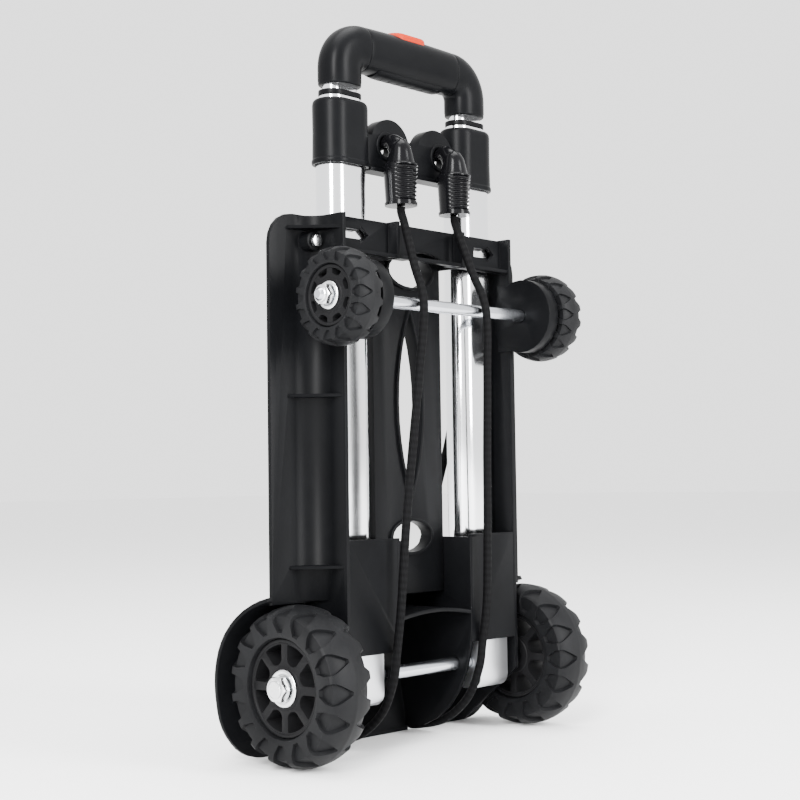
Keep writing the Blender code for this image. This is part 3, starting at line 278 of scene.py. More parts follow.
@dataclass(frozen=True)
class DrawnMetal:
    """Metal drawn, brushed or turned along one axis."""

    name: str
    colour: Place
    roughness: float
    stretch: Place
    depth: float = 0.000012
    spread: float = 0.10

    def make(self) -> bpy.types.Material:
        """Builds the material."""
        g = Graph(self.name)
        lines = g.noise(g.coordinates(self.stretch), 1, 5, 0.6)
        smear = g.noise(g.coordinates((1, 1, 1)), 30, 4)
        rough = (lines - 0.5) * self.spread + (smear - 0.5) * self.spread * 0.7 + self.roughness
        dark = tuple(c * 0.88 for c in self.colour)
        return g.finish(Base_Color=g.blend(smear * 0.5 + lines * 0.5, dark, self.colour), Metallic=1.0,
                        Roughness=rough.clamped(), Normal=g.bump(lines, self.depth, 0.6))


@dataclass(frozen=True)
class ZincPlate:
    """Bright zinc with a faint crystalline mottle and small rub marks."""

    name: str
    colour: Place = (0.80, 0.81, 0.82)
    roughness: float = 0.20

    def make(self) -> bpy.types.Material:
        """Builds the material."""
        g = Graph(self.name)
        where = g.coordinates((1, 1, 1))
        crystal = g.node("ShaderNodeTexVoronoi", {}, {"Vector": where, "Scale": 900.0}, "Distance")
        rub = g.noise(where, 260, 5, 0.7)
        tone = g.blend(crystal * 0.5 + rub * 0.5, tuple(c * 0.82 for c in self.colour), self.colour)
        rough = (rub - 0.5) * 0.22 + crystal * 0.06 + self.roughness
        return g.finish(Base_Color=tone, Metallic=1.0, Roughness=rough.clamped(),
                        Normal=g.bump(rub, 0.00002, 0.5))


@dataclass(frozen=True)
class BraidedSheath:
    """A cord's woven cover: crossing strands that follow the cord by its UV map."""

    name: str
    strands: float = 8.0
    pitch: float = 0.0085
    length: float = 1.0

    def make(self) -> bpy.types.Material:
        """Builds the material."""
        g = Graph(self.name)
        where = g.node("ShaderNodeTexCoord", {}, {}, "UV")
        along = g.node("ShaderNodeSeparateXYZ", {}, {"Vector": where}, "Y")
        around = g.node("ShaderNodeSeparateXYZ", {}, {"Vector": where}, "X")
        turns = self.length / self.pitch
        left = ((around * self.strands + along * turns) * TURN).sine()
        right = ((around * self.strands - along * turns) * TURN).sine()
        weave = (left * right) * 0.5 + 0.5
        fuzz = g.noise(g.coordinates((1, 1, 1)), 1800, 3)
        tone = g.blend(g.ramp(weave * 0.75 + fuzz * 0.25, (0.15, 0.0), (0.9, 1.0)),
                       (0.0010, 0.0010, 0.0011),
                       (0.0036, 0.0036, 0.0040))
        return g.finish(Base_Color=tone, Roughness=(0.72 - weave * 0.20).clamped(),
                        Normal=g.bump(weave * 0.8 + fuzz * 0.2, 0.00025, 0.6), Specular_IOR_Level=0.04)


@dataclass(frozen=True)
class GlossPlastic:
    """Smooth glossy plastic with faint flow marks."""

    name: str
    colour: Place
    roughness: float = 0.16
    coat: float = 0.4

    def make(self) -> bpy.types.Material:
        """Builds the material."""
        g = Graph(self.name)
        where = g.coordinates((1, 1, 1))
        flow = g.noise(where, 70, 4)
        light = tuple(min(1.0, c * 1.12) for c in self.colour)
        return g.finish(Base_Color=g.blend(flow, self.colour, light),
                        Roughness=((flow - 0.5) * 0.12 + self.roughness),
                        Coat_Weight=self.coat, Coat_Roughness=0.08, Normal=g.bump(flow, 0.00006, 0.3),
                        Specular_IOR_Level=0.10)


class Finishes:
    """The hand truck's materials by their slot in the record."""

    def __init__(self) -> None:
        """Makes every material once."""
        made = {
            "black_plastic": MouldedPlastic("satin_black_moulding"),
            "deck_plastic": MouldedPlastic("deck_moulding", edge=0.0006, roughness=0.40),
            "gloss_black_plastic": GlossPlastic("glossy_black_hook", (0.0022, 0.0022, 0.0026), 0.18,
                                                0.0),
            "hub_plastic": MouldedPlastic("hub_moulding", (0.0042, 0.0042, 0.0045), 0.42, 0.00008),
            "tyre_rubber": HardRubber("solid_tyre"),
            "polished_aluminium": DrawnMetal("polished_tube", (0.90, 0.91, 0.93), 0.13,
                                             (700, 700, 5), spread=0.10),
            "satin_aluminium": DrawnMetal("satin_foot", (0.66, 0.67, 0.69), 0.36, (260, 260, 60),
                                          0.00002),
            "satin_steel": DrawnMetal("turned_axle", (0.60, 0.62, 0.66), 0.24, (1400, 60, 60)),
            "bright_zinc": ZincPlate("zinc_plate"),
            "red_button": GlossPlastic("orange_red_button", (0.27, 0.0130, 0.0004), 0.40, 0.0),
        }
        self.materials = {slot: finish.make() for slot, finish in made.items()}

    def __getitem__(self, slot: str) -> bpy.types.Material:
        """The material of a slot."""
        return self.materials[slot]


# ------------------------------------------------------------------ modelling by hand
class Workpiece:
    """A mesh object under work, shaped with edit-mode operators and finished with applied modifiers."""

    def __init__(self, obj: bpy.types.Object, name: str) -> None:
        """Takes an object over and names it."""
        self.obj = obj
        self.obj.name = name
        self.obj.data.name = name

    @staticmethod
    def _alone() -> None:
        """Deselects everything."""
        if bpy.context.object and bpy.context.object.mode != "OBJECT":
            bpy.ops.object.mode_set(mode="OBJECT")
        bpy.ops.object.select_all(action="DESELECT")

    @classmethod
    def cylinder(cls, name: str, radius: float, span: Point, at: Point = (0, 0),
                 sides: int = 48) -> "Workpiece":
        """A cylinder primitive along X.

        Args:
            name: the object's name.
            radius: its radius.
            span: its lowest and highest x.
            at: the y and z of its axis.
            sides: how many sides it has.

        Returns:
            The new piece.
        """
        cls._alone()
        bpy.ops.mesh.primitive_cylinder_add(vertices=sides, radius=radius, depth=span[1] - span[0],
                                            location=((span[0] + span[1]) / 2, *at),
                                            rotation=(0, math.pi / 2, 0))
        piece = cls(bpy.context.object, name)
        return piece.settled()

    @classmethod
    def wrapped(cls, name: str, columns: int, rows: int,
                place: Callable[[int, int], Vector]) -> "Workpiece":
        """A grid primitive wrapped into a closed skin, its seams and poles merged.

        Args:
            name: the object's name.
            columns: faces across the grid.
            rows: faces along it.
            place: gives the point of each column and row.

        Returns:
            The new piece, with the grid's own UV map.
        """
        cls._alone()
        bpy.ops.mesh.primitive_grid_add(x_subdivisions=columns, y_subdivisions=rows, size=2,
                                        calc_uvs=True)
        piece = cls(bpy.context.object, name)
        for vertex in piece.obj.data.vertices:
            column = round((vertex.co.x + 1) / 2 * columns)
            row = round((vertex.co.y + 1) / 2 * rows)
            vertex.co = place(column, row)
        return piece.cleaned()

    @classmethod
    def plate(cls, name: str, outlines: Sequence[Sequence[Point]], half: float,
              axes: Matrix) -> "Workpiece":
        """A flat outline with holes, extruded to both sides and stood up by a matrix.

        Args:
            name: the object's name.
            outlines: the outline and its holes, as (u, v) points.
            half: half the thickness.
            axes: takes the outline's own axes to the frame's.

        Returns:
            The new piece.
        """
        cls._alone()
        curve = bpy.data.curves.new(name, "CURVE")
        curve.dimensions, curve.fill_mode, curve.extrude = "2D", "BOTH", half
        for outline in outlines:
            spline = curve.splines.new("POLY")
            spline.points.add(len(outline) - 1)
            for point, (u, v) in zip(spline.points, outline):
                point.co = (u, v, 0, 1)
            spline.use_cyclic_u = True
        obj = bpy.data.objects.new(name, curve)
        bpy.context.scene.collection.objects.link(obj)
        obj.select_set(True)
        bpy.context.view_layer.objects.active = obj
        bpy.ops.object.convert(target="MESH")
        piece = cls(bpy.context.object, name)
        piece.obj.data.transform(axes)
        return piece.cleaned()

    @classmethod
    def softened_copy(cls, name: str, node: str, radius: float, angle: float = 40) -> "Workpiece":
        """A merged copy of a frame node with its flat faces rejoined and its edges rounded.

        Args:
            name: the object's name.
            node: the frame's node.
            radius: the edges' radius.
            angle: edges sharper than this many degrees are rounded.

        Returns:
            The new piece.
        """
        cls._alone()
        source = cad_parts[node]
        obj = bpy.data.objects.new(name, source.data.copy())
        bpy.context.scene.collection.objects.link(obj)
        obj.matrix_world = source.matrix_world.copy()
        piece = cls(obj, name).active().settled()
        with piece:
            bpy.ops.mesh.select_all(action="SELECT")
            bpy.ops.mesh.remove_doubles(threshold=2e-6)
            bpy.ops.mesh.dissolve_limited(angle_limit=math.radians(1.0))
        return piece.modified("BEVEL", width=radius, segments=2, limit_method="ANGLE",
                              angle_limit=math.radians(angle),
                              use_clamp_overlap=True, harden_normals=False)

    def __enter__(self) -> "Workpiece":
        """Goes into edit mode."""
        self.active()
        bpy.ops.object.mode_set(mode="EDIT")
        return self

    def __exit__(self, *_: object) -> None:
        """Comes back to object mode."""
        bpy.ops.object.mode_set(mode="OBJECT")

    def active(self) -> "Workpiece":
        """Makes this the one selected object."""
        self._alone()
        self.obj.select_set(True)
        bpy.context.view_layer.objects.active = self.obj
        return self

    def settled(self) -> "Workpiece":
        """Puts the object's place into its mesh."""
        self.active()
        bpy.ops.object.transform_apply(location=True, rotation=True, scale=True)
        return self

    def cleaned(self) -> "Workpiece":
        """Merges doubles and turns all faces outwards."""
        with self:
            bpy.ops.mesh.select_all(action="SELECT")
            bpy.ops.mesh.remove_doubles(threshold=1e-6)
            bpy.ops.mesh.normals_make_consistent(inside=False)
        return self

    def modified(self, kind: str, **settings: object) -> "Workpiece":
        """Adds a modifier and applies it."""
        self.active()
        modifier = self.obj.modifiers.new(kind.lower(), kind)
        for key, value in settings.items():
            setattr(modifier, key, value)
        bpy.ops.object.modifier_apply(modifier=modifier.name)
        return self

    def rounded(self, radius: float, angle: float = 40, segments: int = 2) -> "Workpiece":
        """Rounds the edges sharper than an angle."""
        return self.modified("BEVEL", width=radius, segments=segments, limit_method="ANGLE",
                             angle_limit=math.radians(angle), use_clamp_overlap=True)

    def combined(self, other: "Workpiece", operation: str) -> "Workpiece":
        """Joins or cuts another piece, which is used up."""
        self.modified("BOOLEAN", operation=operation, solver="EXACT", object=other.obj)
        bpy.data.objects.remove(other.obj, do_unlink=True)
        return self

    def dressed(self, material: bpy.types.Material, slot: str, body: str | None,
                nodes: Iterable[str] = (),
                angle: float = 38) -> bpy.types.Object:
        """Finishes the piece: shading, material, the nodes it stands for, and the body it rides on.

        Args:
            material: its material.
            slot: not used.
            body: the body it rides on, or None to leave it unattached.
            nodes: the frame nodes that it replaces.
            angle: edges sharper than this many degrees stay sharp.

        Returns:
            The finished object.
        """
        self.active()
        bpy.ops.object.shade_smooth_by_angle(angle=math.radians(angle))
        self.obj.data.materials.clear()
        self.obj.data.materials.append(material)
        if list(nodes):
            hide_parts(*nodes)
        if body:
            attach(self.obj, body)
        LOG.info("%s: %d faces on %s", self.obj.name, len(self.obj.data.polygons), body or "two bodies")
        return self.obj


# ------------------------------------------------------------------ lines and outlines
def arc(centre: Point, radius: float, start: float, end: float, steps: int = 8) -> list[Point]:
    """Points along an arc, angles in degrees."""
    turns = [math.radians(start + (end - start) * i / steps) for i in range(steps + 1)]
    return [(centre[0] + radius * math.cos(t), centre[1] + radius * math.sin(t)) for t in turns]


def oval_point(width: float, depth: float, part: float) -> Point:
    """The point a part of the way round a flat-sided oval, evenly spaced by angle on its ends."""
    radius, flat = depth / 2, (width - depth) / 2
    quarter = (part % 1.0) * 4
    side = int(quarter)
    share = quarter - side
    if side == 0:
        turn = math.radians(-90 + 180 * share)
        return flat + radius * math.cos(turn), radius * math.sin(turn)
    if side == 1:
        return flat - 2 * flat * share, radius
    if side == 2:
        turn = math.radians(90 + 180 * share)
        return -flat + radius * math.cos(turn), radius * math.sin(turn)
    return -flat + 2 * flat * share, -radius


def through(points: Sequence[Sequence[float]], count: int) -> list[Vector]:
    """Evenly spaced points on a smooth curve through the given points."""
    places = [Vector(p) for p in points]
    ends = [2 * places[0] - places[1], *places, 2 * places[-1] - places[-2]]
    fine: list[Vector] = []
    for a, b, c, d in zip(ends, ends[1:], ends[2:], ends[3:]):
        for i in range(24):
            t = i / 24
            fine.append(0.5 * (2 * b + (c - a) * t + (2 * a - 5 * b + 4 * c - d) * t * t
                               + (3 * b - a - 3 * c + d) * t ** 3))
    fine.append(places[-1])
    marks = [0.0]
    for a, b in zip(fine, fine[1:]):
        marks.append(marks[-1] + (b - a).length)
    spaced, j = [], 0
    for i in range(count + 1):
        target = marks[-1] * i / count
        while j < len(marks) - 2 and marks[j + 1] < target:
            j += 1
        share = (target - marks[j]) / max(marks[j + 1] - marks[j], 1e-12)
        spaced.append(fine[j].lerp(fine[j + 1], min(max(share, 0.0), 1.0)))
    return spaced


def length_of(path: Sequence[Vector]) -> float:
    """The length of a path."""
    return sum((b - a).length for a, b in zip(path, path[1:]))


def swept(name: str, path: Sequence[Vector], radius: Callable[[float], float] | float, sides: int = 16,
          shape: Callable[[float, float], float] | None = None, cap: float = 0.0) -> Workpiece:
    """A round bar along a path, its ends closed and domed.

    Args:
        name: the object's name.
        path: its centre line.
        radius: its radius, or a function of the share of the length.
        sides: how many faces go round.
        shape: scales the radius by the share of the length and the share round.
        cap: how far the ends dome out.

    Returns:
        The new piece; its UV map runs round and along the bar.
    """
    size = radius if callable(radius) else lambda share: radius
    normals, tangents = [], []
    for i in range(len(path)):
        ahead, behind = path[min(i + 1, len(path) - 1)], path[max(i - 1, 0)]
        tangents.append((ahead - behind).normalized())
    across = Vector((0, 1, 0)) if abs(tangents[0].y) < 0.9 else Vector((1, 0, 0))
    across = (across - tangents[0] * across.dot(tangents[0])).normalized()
    for tangent in tangents:
        across = (across - tangent * across.dot(tangent)).normalized()
        normals.append(across.copy())
    last = len(path) - 1

    def place(column: int, row: int) -> Vector:
        if row in (0, last + 2):
            end = 0 if row == 0 else last
            return path[end] + tangents[end] * (cap if row else -cap)
        i = row - 1
        turn = TURN * column / sides
        out = normals[i] * math.cos(turn) + tangents[i].cross(normals[i]) * math.sin(turn)
        reach = size(i / last)
        if shape:
            reach *= shape(i / last, column / sides)
        return path[i] + out * reach

    return Workpiece.wrapped(name, sides, last + 2, place)


def turned(name: str, profile: Sequence[Point], centre: Place, axis: str, sides: int = 64,
           flip: int = 1) -> Workpiece:
    """A closed profile of (radius, height) points turned round an axis.

    Args:
        name: the object's name.
        profile: the closed loop.
        centre: the point that height 0 is at.
        axis: "X", "Y" or "Z".
        sides: how many faces go round.
        flip: -1 turns the heights to the other side.

    Returns:
        The new piece.
    """
    count = len(profile)

    def place(column: int, row: int) -> Vector:
        r, h = profile[row % count]
        turn = TURN * column / sides
        u, v, w = r * math.cos(turn), r * math.sin(turn), h * flip
        return Vector(centre) + Vector({"X": (w, u, v), "Y": (v, w, u), "Z": (u, v, w)}[axis])

    return Workpiece.wrapped(name, sides, count, place)


def eased(points: Sequence[Point], radius: float, steps: int = 3) -> list[Point]:
    """A closed outline with its corners rounded."""
    loop: list[Point] = []
    for i, corner in enumerate(points):
        here = Vector(corner)
        before, after = Vector(points[i - 1]) - here, Vector(points[(i + 1) % len(points)]) - here
        reach = min(radius, before.length * 0.45, after.length * 0.45)
        start, end = here + before.normalized() * reach, here + after.normalized() * reach
        for k in range(steps + 1):
            t = k / steps
            point = (1 - t) ** 2 * start + 2 * t * (1 - t) * here + t * t * end
            loop.append((point.x, point.y))
    return loop


def middle(node: str) -> Vector:
    """The middle of a frame node's box."""
    low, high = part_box(node)
    return (Vector(low) + Vector(high)) / 2


def tube_front() -> float:
    """Where the outer tubes' front is along Y."""
    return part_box("outer_tube_left")[0][1]


def reach(node: str) -> Vector:
    """Half the size of a frame node's box."""
    low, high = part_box(node)
    return (Vector(high) - Vector(low)) / 2


# ------------------------------------------------------------------ wheels
@dataclass
class Wheel:
    """A solid lugged tyre on a spoked hub, with its washer, nut and spacer."""

    kind: str
    side: Side
    window: tuple[float, float, float, float]   # outer, shoulder and inner radius, half a spoke's width
    pocket: float
    boss: float
    flats: float
    lugs: int = 16
    spokes: int = 8
    edge: float = 0.022
    wall: ClassVar = ((0.0, 0.84), (0.06, 0.93), (0.36, 0.985), (0.62, 1.0), (0.75, 0.955),
                      (0.87, 0.72),
                      (0.955, 0.38), (1.0, 0.0))
    kite: ClassVar = ((0.0, 0.15), (0.13, 0.15), (0.32, 0.345), (0.50, 0.372), (0.60, 0.33),
                      (0.905, 0.05),
                      (1.0, 0.05))
    rows: ClassVar = (0.0, 0.04, 0.08, 0.11, 0.13, 0.155, 0.20, 0.26, 0.32, 0.38, 0.44, 0.475, 0.50,
                      0.53, 0.57,
                      0.61, 0.66, 0.72, 0.78, 0.83, 0.875, 0.905, 0.93, 0.965, 1.0)

    def __post_init__(self) -> None:
        """Takes the wheel's sizes from the frame."""
        self.centre = middle(self.node("tyre"))
        half = reach(self.node("tyre"))
        self.radius, self.half = half.z, half.x
        hub = reach(self.node("hub"))
        self.seat, self.hub_half = hub.z, hub.x
        self.body = f"{self.kind}_wheel_{self.side.word}"

    def node(self, part: str) -> str:
        """The name of one of this wheel's frame nodes."""
        return f"{self.kind}_{part}_{self.side.word}"

    def width_at(self, share: float) -> float:
        """Half the pocket's width, in lug pitches, a share of the way from hub to crown."""
        for (a, low), (b, high) in zip(self.kite, self.kite[1:]):
            if share <= b:
                return low + (high - low) * (share - a) / (b - a)
        return self.kite[-1][1]

    def build_tyre(self) -> Workpiece:
        """The tyre, each lug's kite-shaped pocket sunk across the shoulder on both sides."""
        wall = self.radius - self.seat
        line = through([(self.seat + wall * r, self.half * x, 0) for r, x in self.wall], 240)
        count, loop = len(self.rows), 2 * len(self.rows) - 1
        first, last = self.kite[1][0], self.kite[-2][0]

        def place(column: int, row: int) -> Vector:
            k = row % loop
            near = k < count
            share = self.rows[k if near else loop - 1 - k]
            i = min(max(round(share * 240), 1), 239)
            tangent = (line[i + 1] - line[i - 1]).normalized()
            out = Vector((-tangent.y, tangent.x, 0))
            lug, c = divmod(column, 8)
            w = self.width_at(share)
            e = min(self.edge, w * 0.45)
            offset = (-0.5, -w - e, -w, e - w, 0.0, w - e, w, w + e)[c]
            sunk = self.pocket if c in (3, 4, 5) and first < share < last else 0.0
            point = line[round(share * 240)] - out * sunk
            turn = TURN * (lug + offset) / self.lugs
            x = point.y if near else -point.y
            return self.centre + Vector((x, point.x * math.cos(turn), point.x * math.sin(turn)))

        return Workpiece.wrapped(self.node("lugged_tyre"), 8 * self.lugs, loop, place)

    def window_outline(self, turn: float) -> list[Point]:
        """One opening between two spokes of even width, its inner end round."""
        outer, shoulder, inner, half_spoke = self.window
        half = math.pi / self.spokes
        wide, low = half - math.asin(half_spoke / outer), half - math.asin(half_spoke / shoulder)
        points = [(outer * math.cos(a),
                   outer * math.sin(a)) for a in (wide * (i / 4 - 1) for i in range(9))]
        centre, rise = shoulder * math.cos(low), shoulder * math.sin(low)
        points += [(centre - (centre - inner) * math.sin(TURN / 4 * i / 4),
                    rise * math.cos(TURN / 4 * i / 4))
                   for i in range(9)]
        cos, sin = math.cos(turn), math.sin(turn)
        return [(x * cos - y * sin, x * sin + y * cos) for x, y in eased(points, 0.0011, 2)]

    def build_hub(self) -> Workpiece:
        """The spoked disc under the raised boss and rim, its edges rounded."""
        rim = self.seat - 0.0005
        outline = arc((0, 0), rim, 0, 356.25, 95)
        holes = [self.window_outline(TURN * (i + 0.5) / self.spokes) for i in range(self.spokes)]
        axes = Matrix.Translation(self.centre) @ Matrix(((0, 0, 1, 0), (1, 0, 0, 0), (0, 1, 0, 0),
                                                         (0, 0, 0, 1)))
        disc = Workpiece.plate(self.node("spoked_hub"), [outline, *holes], self.hub_half - 0.0006, axes)
        disc.rounded(0.0005, 50, 2)
        return disc

    def build_boss(self) -> Workpiece:
        """The bearing housing that stands a little proud round the washer."""
        h = self.hub_half
        profile = eased([(0.0060, h), (self.boss, h), (self.boss + 0.0012, h - 0.0014),
                         (self.boss + 0.0012, 0.0014 - h), (self.boss, -h), (0.0060, -h)], 0.0005)
        return turned(self.node("bearing_housing"), profile, tuple(self.centre), "X", 64)

    def build_rim(self) -> Workpiece:
        """The hub's raised outer ring, next to the tyre."""
        h, r = self.hub_half, self.seat
        profile = eased([(r - 0.0032, h - 0.0008), (r - 0.0026, h), (r - 0.0009, h),
                         (r - 0.0003, h - 0.0012),
                         (r - 0.0003, 0.0012 - h), (r - 0.0009, -h), (r - 0.0026, -h),
                         (r - 0.0032, 0.0008 - h)],
                        0.0003, 2)
        return turned(self.node("hub_rim"), profile, tuple(self.centre), "X", 96)

    def build_washer(self) -> Workpiece:
        """A flanged washer with a rolled edge and a turned step."""
        low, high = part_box(self.node("washer"))
        radius, half = (high[2] - low[2]) / 2, (high[0] - low[0]) / 2
        bore = self.flats * 0.32
        profile = eased([(bore, -half), (radius - 0.0004, -half), (radius, 0.0),
                         (radius - 0.0010, half),
                         (radius * 0.76, half * 0.75), (radius * 0.72, half * 0.2),
                         (bore, half * 0.2)], 0.0003, 2)
        return turned(self.node("flange_washer"), profile, tuple(middle(self.node("washer"))), "X", 64,
                      self.side.value)

    def build_nut(self) -> Workpiece:
        """A hexagon nut, chamfered at both ends."""
        centre, half = middle(self.node("nut")), reach(self.node("nut"))
        corner = self.flats / math.sqrt(3)
        nut = Workpiece.cylinder(self.node("hex_nut"), corner, (centre.x - half.x, centre.x + half.x),
                                 (centre.y, centre.z), 6)
        cone = corner - 0.0013
        profile = [(0.0, half.x), (cone, half.x), (corner + 0.0008, half.x - 0.0018),
                   (corner + 0.0008, 0.0018 - half.x),
                   (cone, -half.x), (0.0, -half.x)]
        nut.combined(turned("chamfer", profile, tuple(centre), "X", 48), "INTERSECT")
        collar = [(0.0, half.x), (corner * 0.62, half.x), (corner * 0.66, half.x + 0.0006),
                  (corner * 0.58, half.x + 0.0011), (0.0, half.x + 0.0011)]
        nut.rounded(0.00025, 35, 1)
        return nut.combined(turned("collar", collar[::-1], tuple(centre), "X", 48, self.side.value),
                            "UNION")

    def build_spacer(self) -> Workpiece:
        """The stepped spacer between the wheel and the frame."""
        centre, half = middle(self.node("spacer")), reach(self.node("spacer"))
        r, h = half.z, half.x
        profile = eased([(r - 0.0038, h), (r, h), (r, h * 0.3), (r - 0.0008, h * 0.2),
                         (r - 0.0008, -h * 0.2),
                         (r, -h * 0.3), (r, -h), (r - 0.0038, -h)], 0.0003, 2)
        return turned(self.node("step_spacer"), profile, tuple(centre), "X", 40)

    def build(self, finishes: Finishes) -> None:
        """Builds and dresses the wheel."""
        tyre = self.build_tyre()
        tyre.dressed(finishes["tyre_rubber"], "tyre_rubber", self.body, [self.node("tyre")], 26)
        hub = self.build_hub()
        hub.dressed(finishes["hub_plastic"], "hub_plastic", self.body, [self.node("hub")])
        for piece in (self.build_boss(), self.build_rim()):
            piece.dressed(finishes["hub_plastic"], "hub_plastic", self.body)
        self.build_washer().dressed(finishes["bright_zinc"], "bright_zinc", "platform",
                                    [self.node("washer")])
        self.build_nut().dressed(finishes["bright_zinc"], "bright_zinc", "platform",
                                 [self.node("nut")], 25)
        self.build_spacer().dressed(finishes["black_plastic"], "black_plastic", "platform",
                                    [self.node("spacer")])


@dataclass
class Axle:
    """A steel axle with chamfered, threaded ends."""

    node: str
    thread: float = 0.0075
    pitch: float = 0.00125

    def build(self, finishes: Finishes) -> None:
        """Builds and dresses the axle."""
        centre, half = middle(self.node), reach(self.node)
        r, h = half.z, half.x
        profile: list[Point] = [(0.0, h), (r - 0.0016, h), (r - 0.0003, h - 0.0014)]
        x = h - 0.0022
        while x > h - self.thread:
            profile += [(r, x), (r - 0.0005, x - self.pitch / 2)]
            x -= self.pitch
        profile.append((r, x))
        profile += [(radius, -height) for radius, height in reversed(profile)]
        axle = turned(self.node + "_bar", profile, tuple(centre), "X", 40)
        axle.dressed(finishes["satin_steel"], "satin_steel", "platform", [self.node], 30)


# ------------------------------------------------------------------ platform
@dataclass
class Platform:
    """The moulded deck and the bolts and retainers of the cords' far ends."""

    edge: float = 0.00055
    sides: Sequence[Side] = tuple(Side)

    def build_retainer(self, side: Side, finishes: Finishes) -> None:
        """The round retainer that holds a cord's loop on the load side."""
        node = f"cord_anchor_{side.word}"
        centre, half = middle(node), reach(node)
        r, h = half.z, half.y
        profile = eased([(0.0034, h), (r - 0.0008, h), (r, h - 0.0010), (r - 0.0016, h - 0.0030),
                         (r - 0.0016, 0.0030 - h), (r, 0.0012 - h), (r, -h), (0.0034, -h)], 0.0004)
        ring = turned(f"cord_retainer_{side.word}", profile, tuple(centre), "Y", 48)
        ring.dressed(finishes["black_plastic"], "black_plastic", "platform", [node])

    def build_bolt(self, side: Side, finishes: Finishes) -> None:
        """The bolt through the deck, its hexagon head on the ribbed side."""
        node = f"anchor_bolt_{side.word}"
        bolt = Workpiece.softened_copy(f"retainer_bolt_{side.word}", node, 0.00035, 30)
        bolt.dressed(finishes["bright_zinc"], "bright_zinc", "platform", [node])

    def build(self, finishes: Finishes) -> None:
        """Builds and dresses the platform."""
        deck = Workpiece.softened_copy("deck_moulding", "deck", self.edge, 48)
        deck.dressed(finishes["deck_plastic"], "black_plastic", "platform", ["deck"], 32)
        for side in self.sides:
            self.build_retainer(side, finishes)
            self.build_bolt(side, finishes)


# ------------------------------------------------------------------ handle
@dataclass
class Stage:
    """One oval tube of a telescoping leg."""

    name: str
    side: Side
    body: str
    wall: float
    slot: str = "polished_aluminium"
    columns: int = 96

    def skin(self, name: str, lip: Sequence[tuple[float, float]]) -> Workpiece:
        """An oval ring or tube: a closed loop of (inset, height) points carried round the oval."""
        node = f"{self.name}_{self.side.word}"
        centre, half = middle(node), reach(node)
        count = len(lip)

        def place(column: int, row: int) -> Vector:
            inset, height = lip[row % count]
            u, v = oval_point(2 * (half.x - inset), 2 * (half.y - inset), column / self.columns)
            return Vector((centre.x + u, centre.y + v, centre.z + height))

        return Workpiece.wrapped(name, self.columns, count, place)

    def build(self, finishes: Finishes) -> None:
        """Builds and dresses the tube."""
        node = f"{self.name}_{self.side.word}"
        h = reach(node).z
        ease = min(0.0004, self.wall / 3)
        lip = eased([(0.0, h), (self.wall, h), (self.wall, -h), (0.0, -h)][::-1], ease, 2)
        tube = self.skin(f"{self.name}_shell_{self.side.word}", lip)
        tube.dressed(finishes[self.slot], self.slot, self.body, [node])


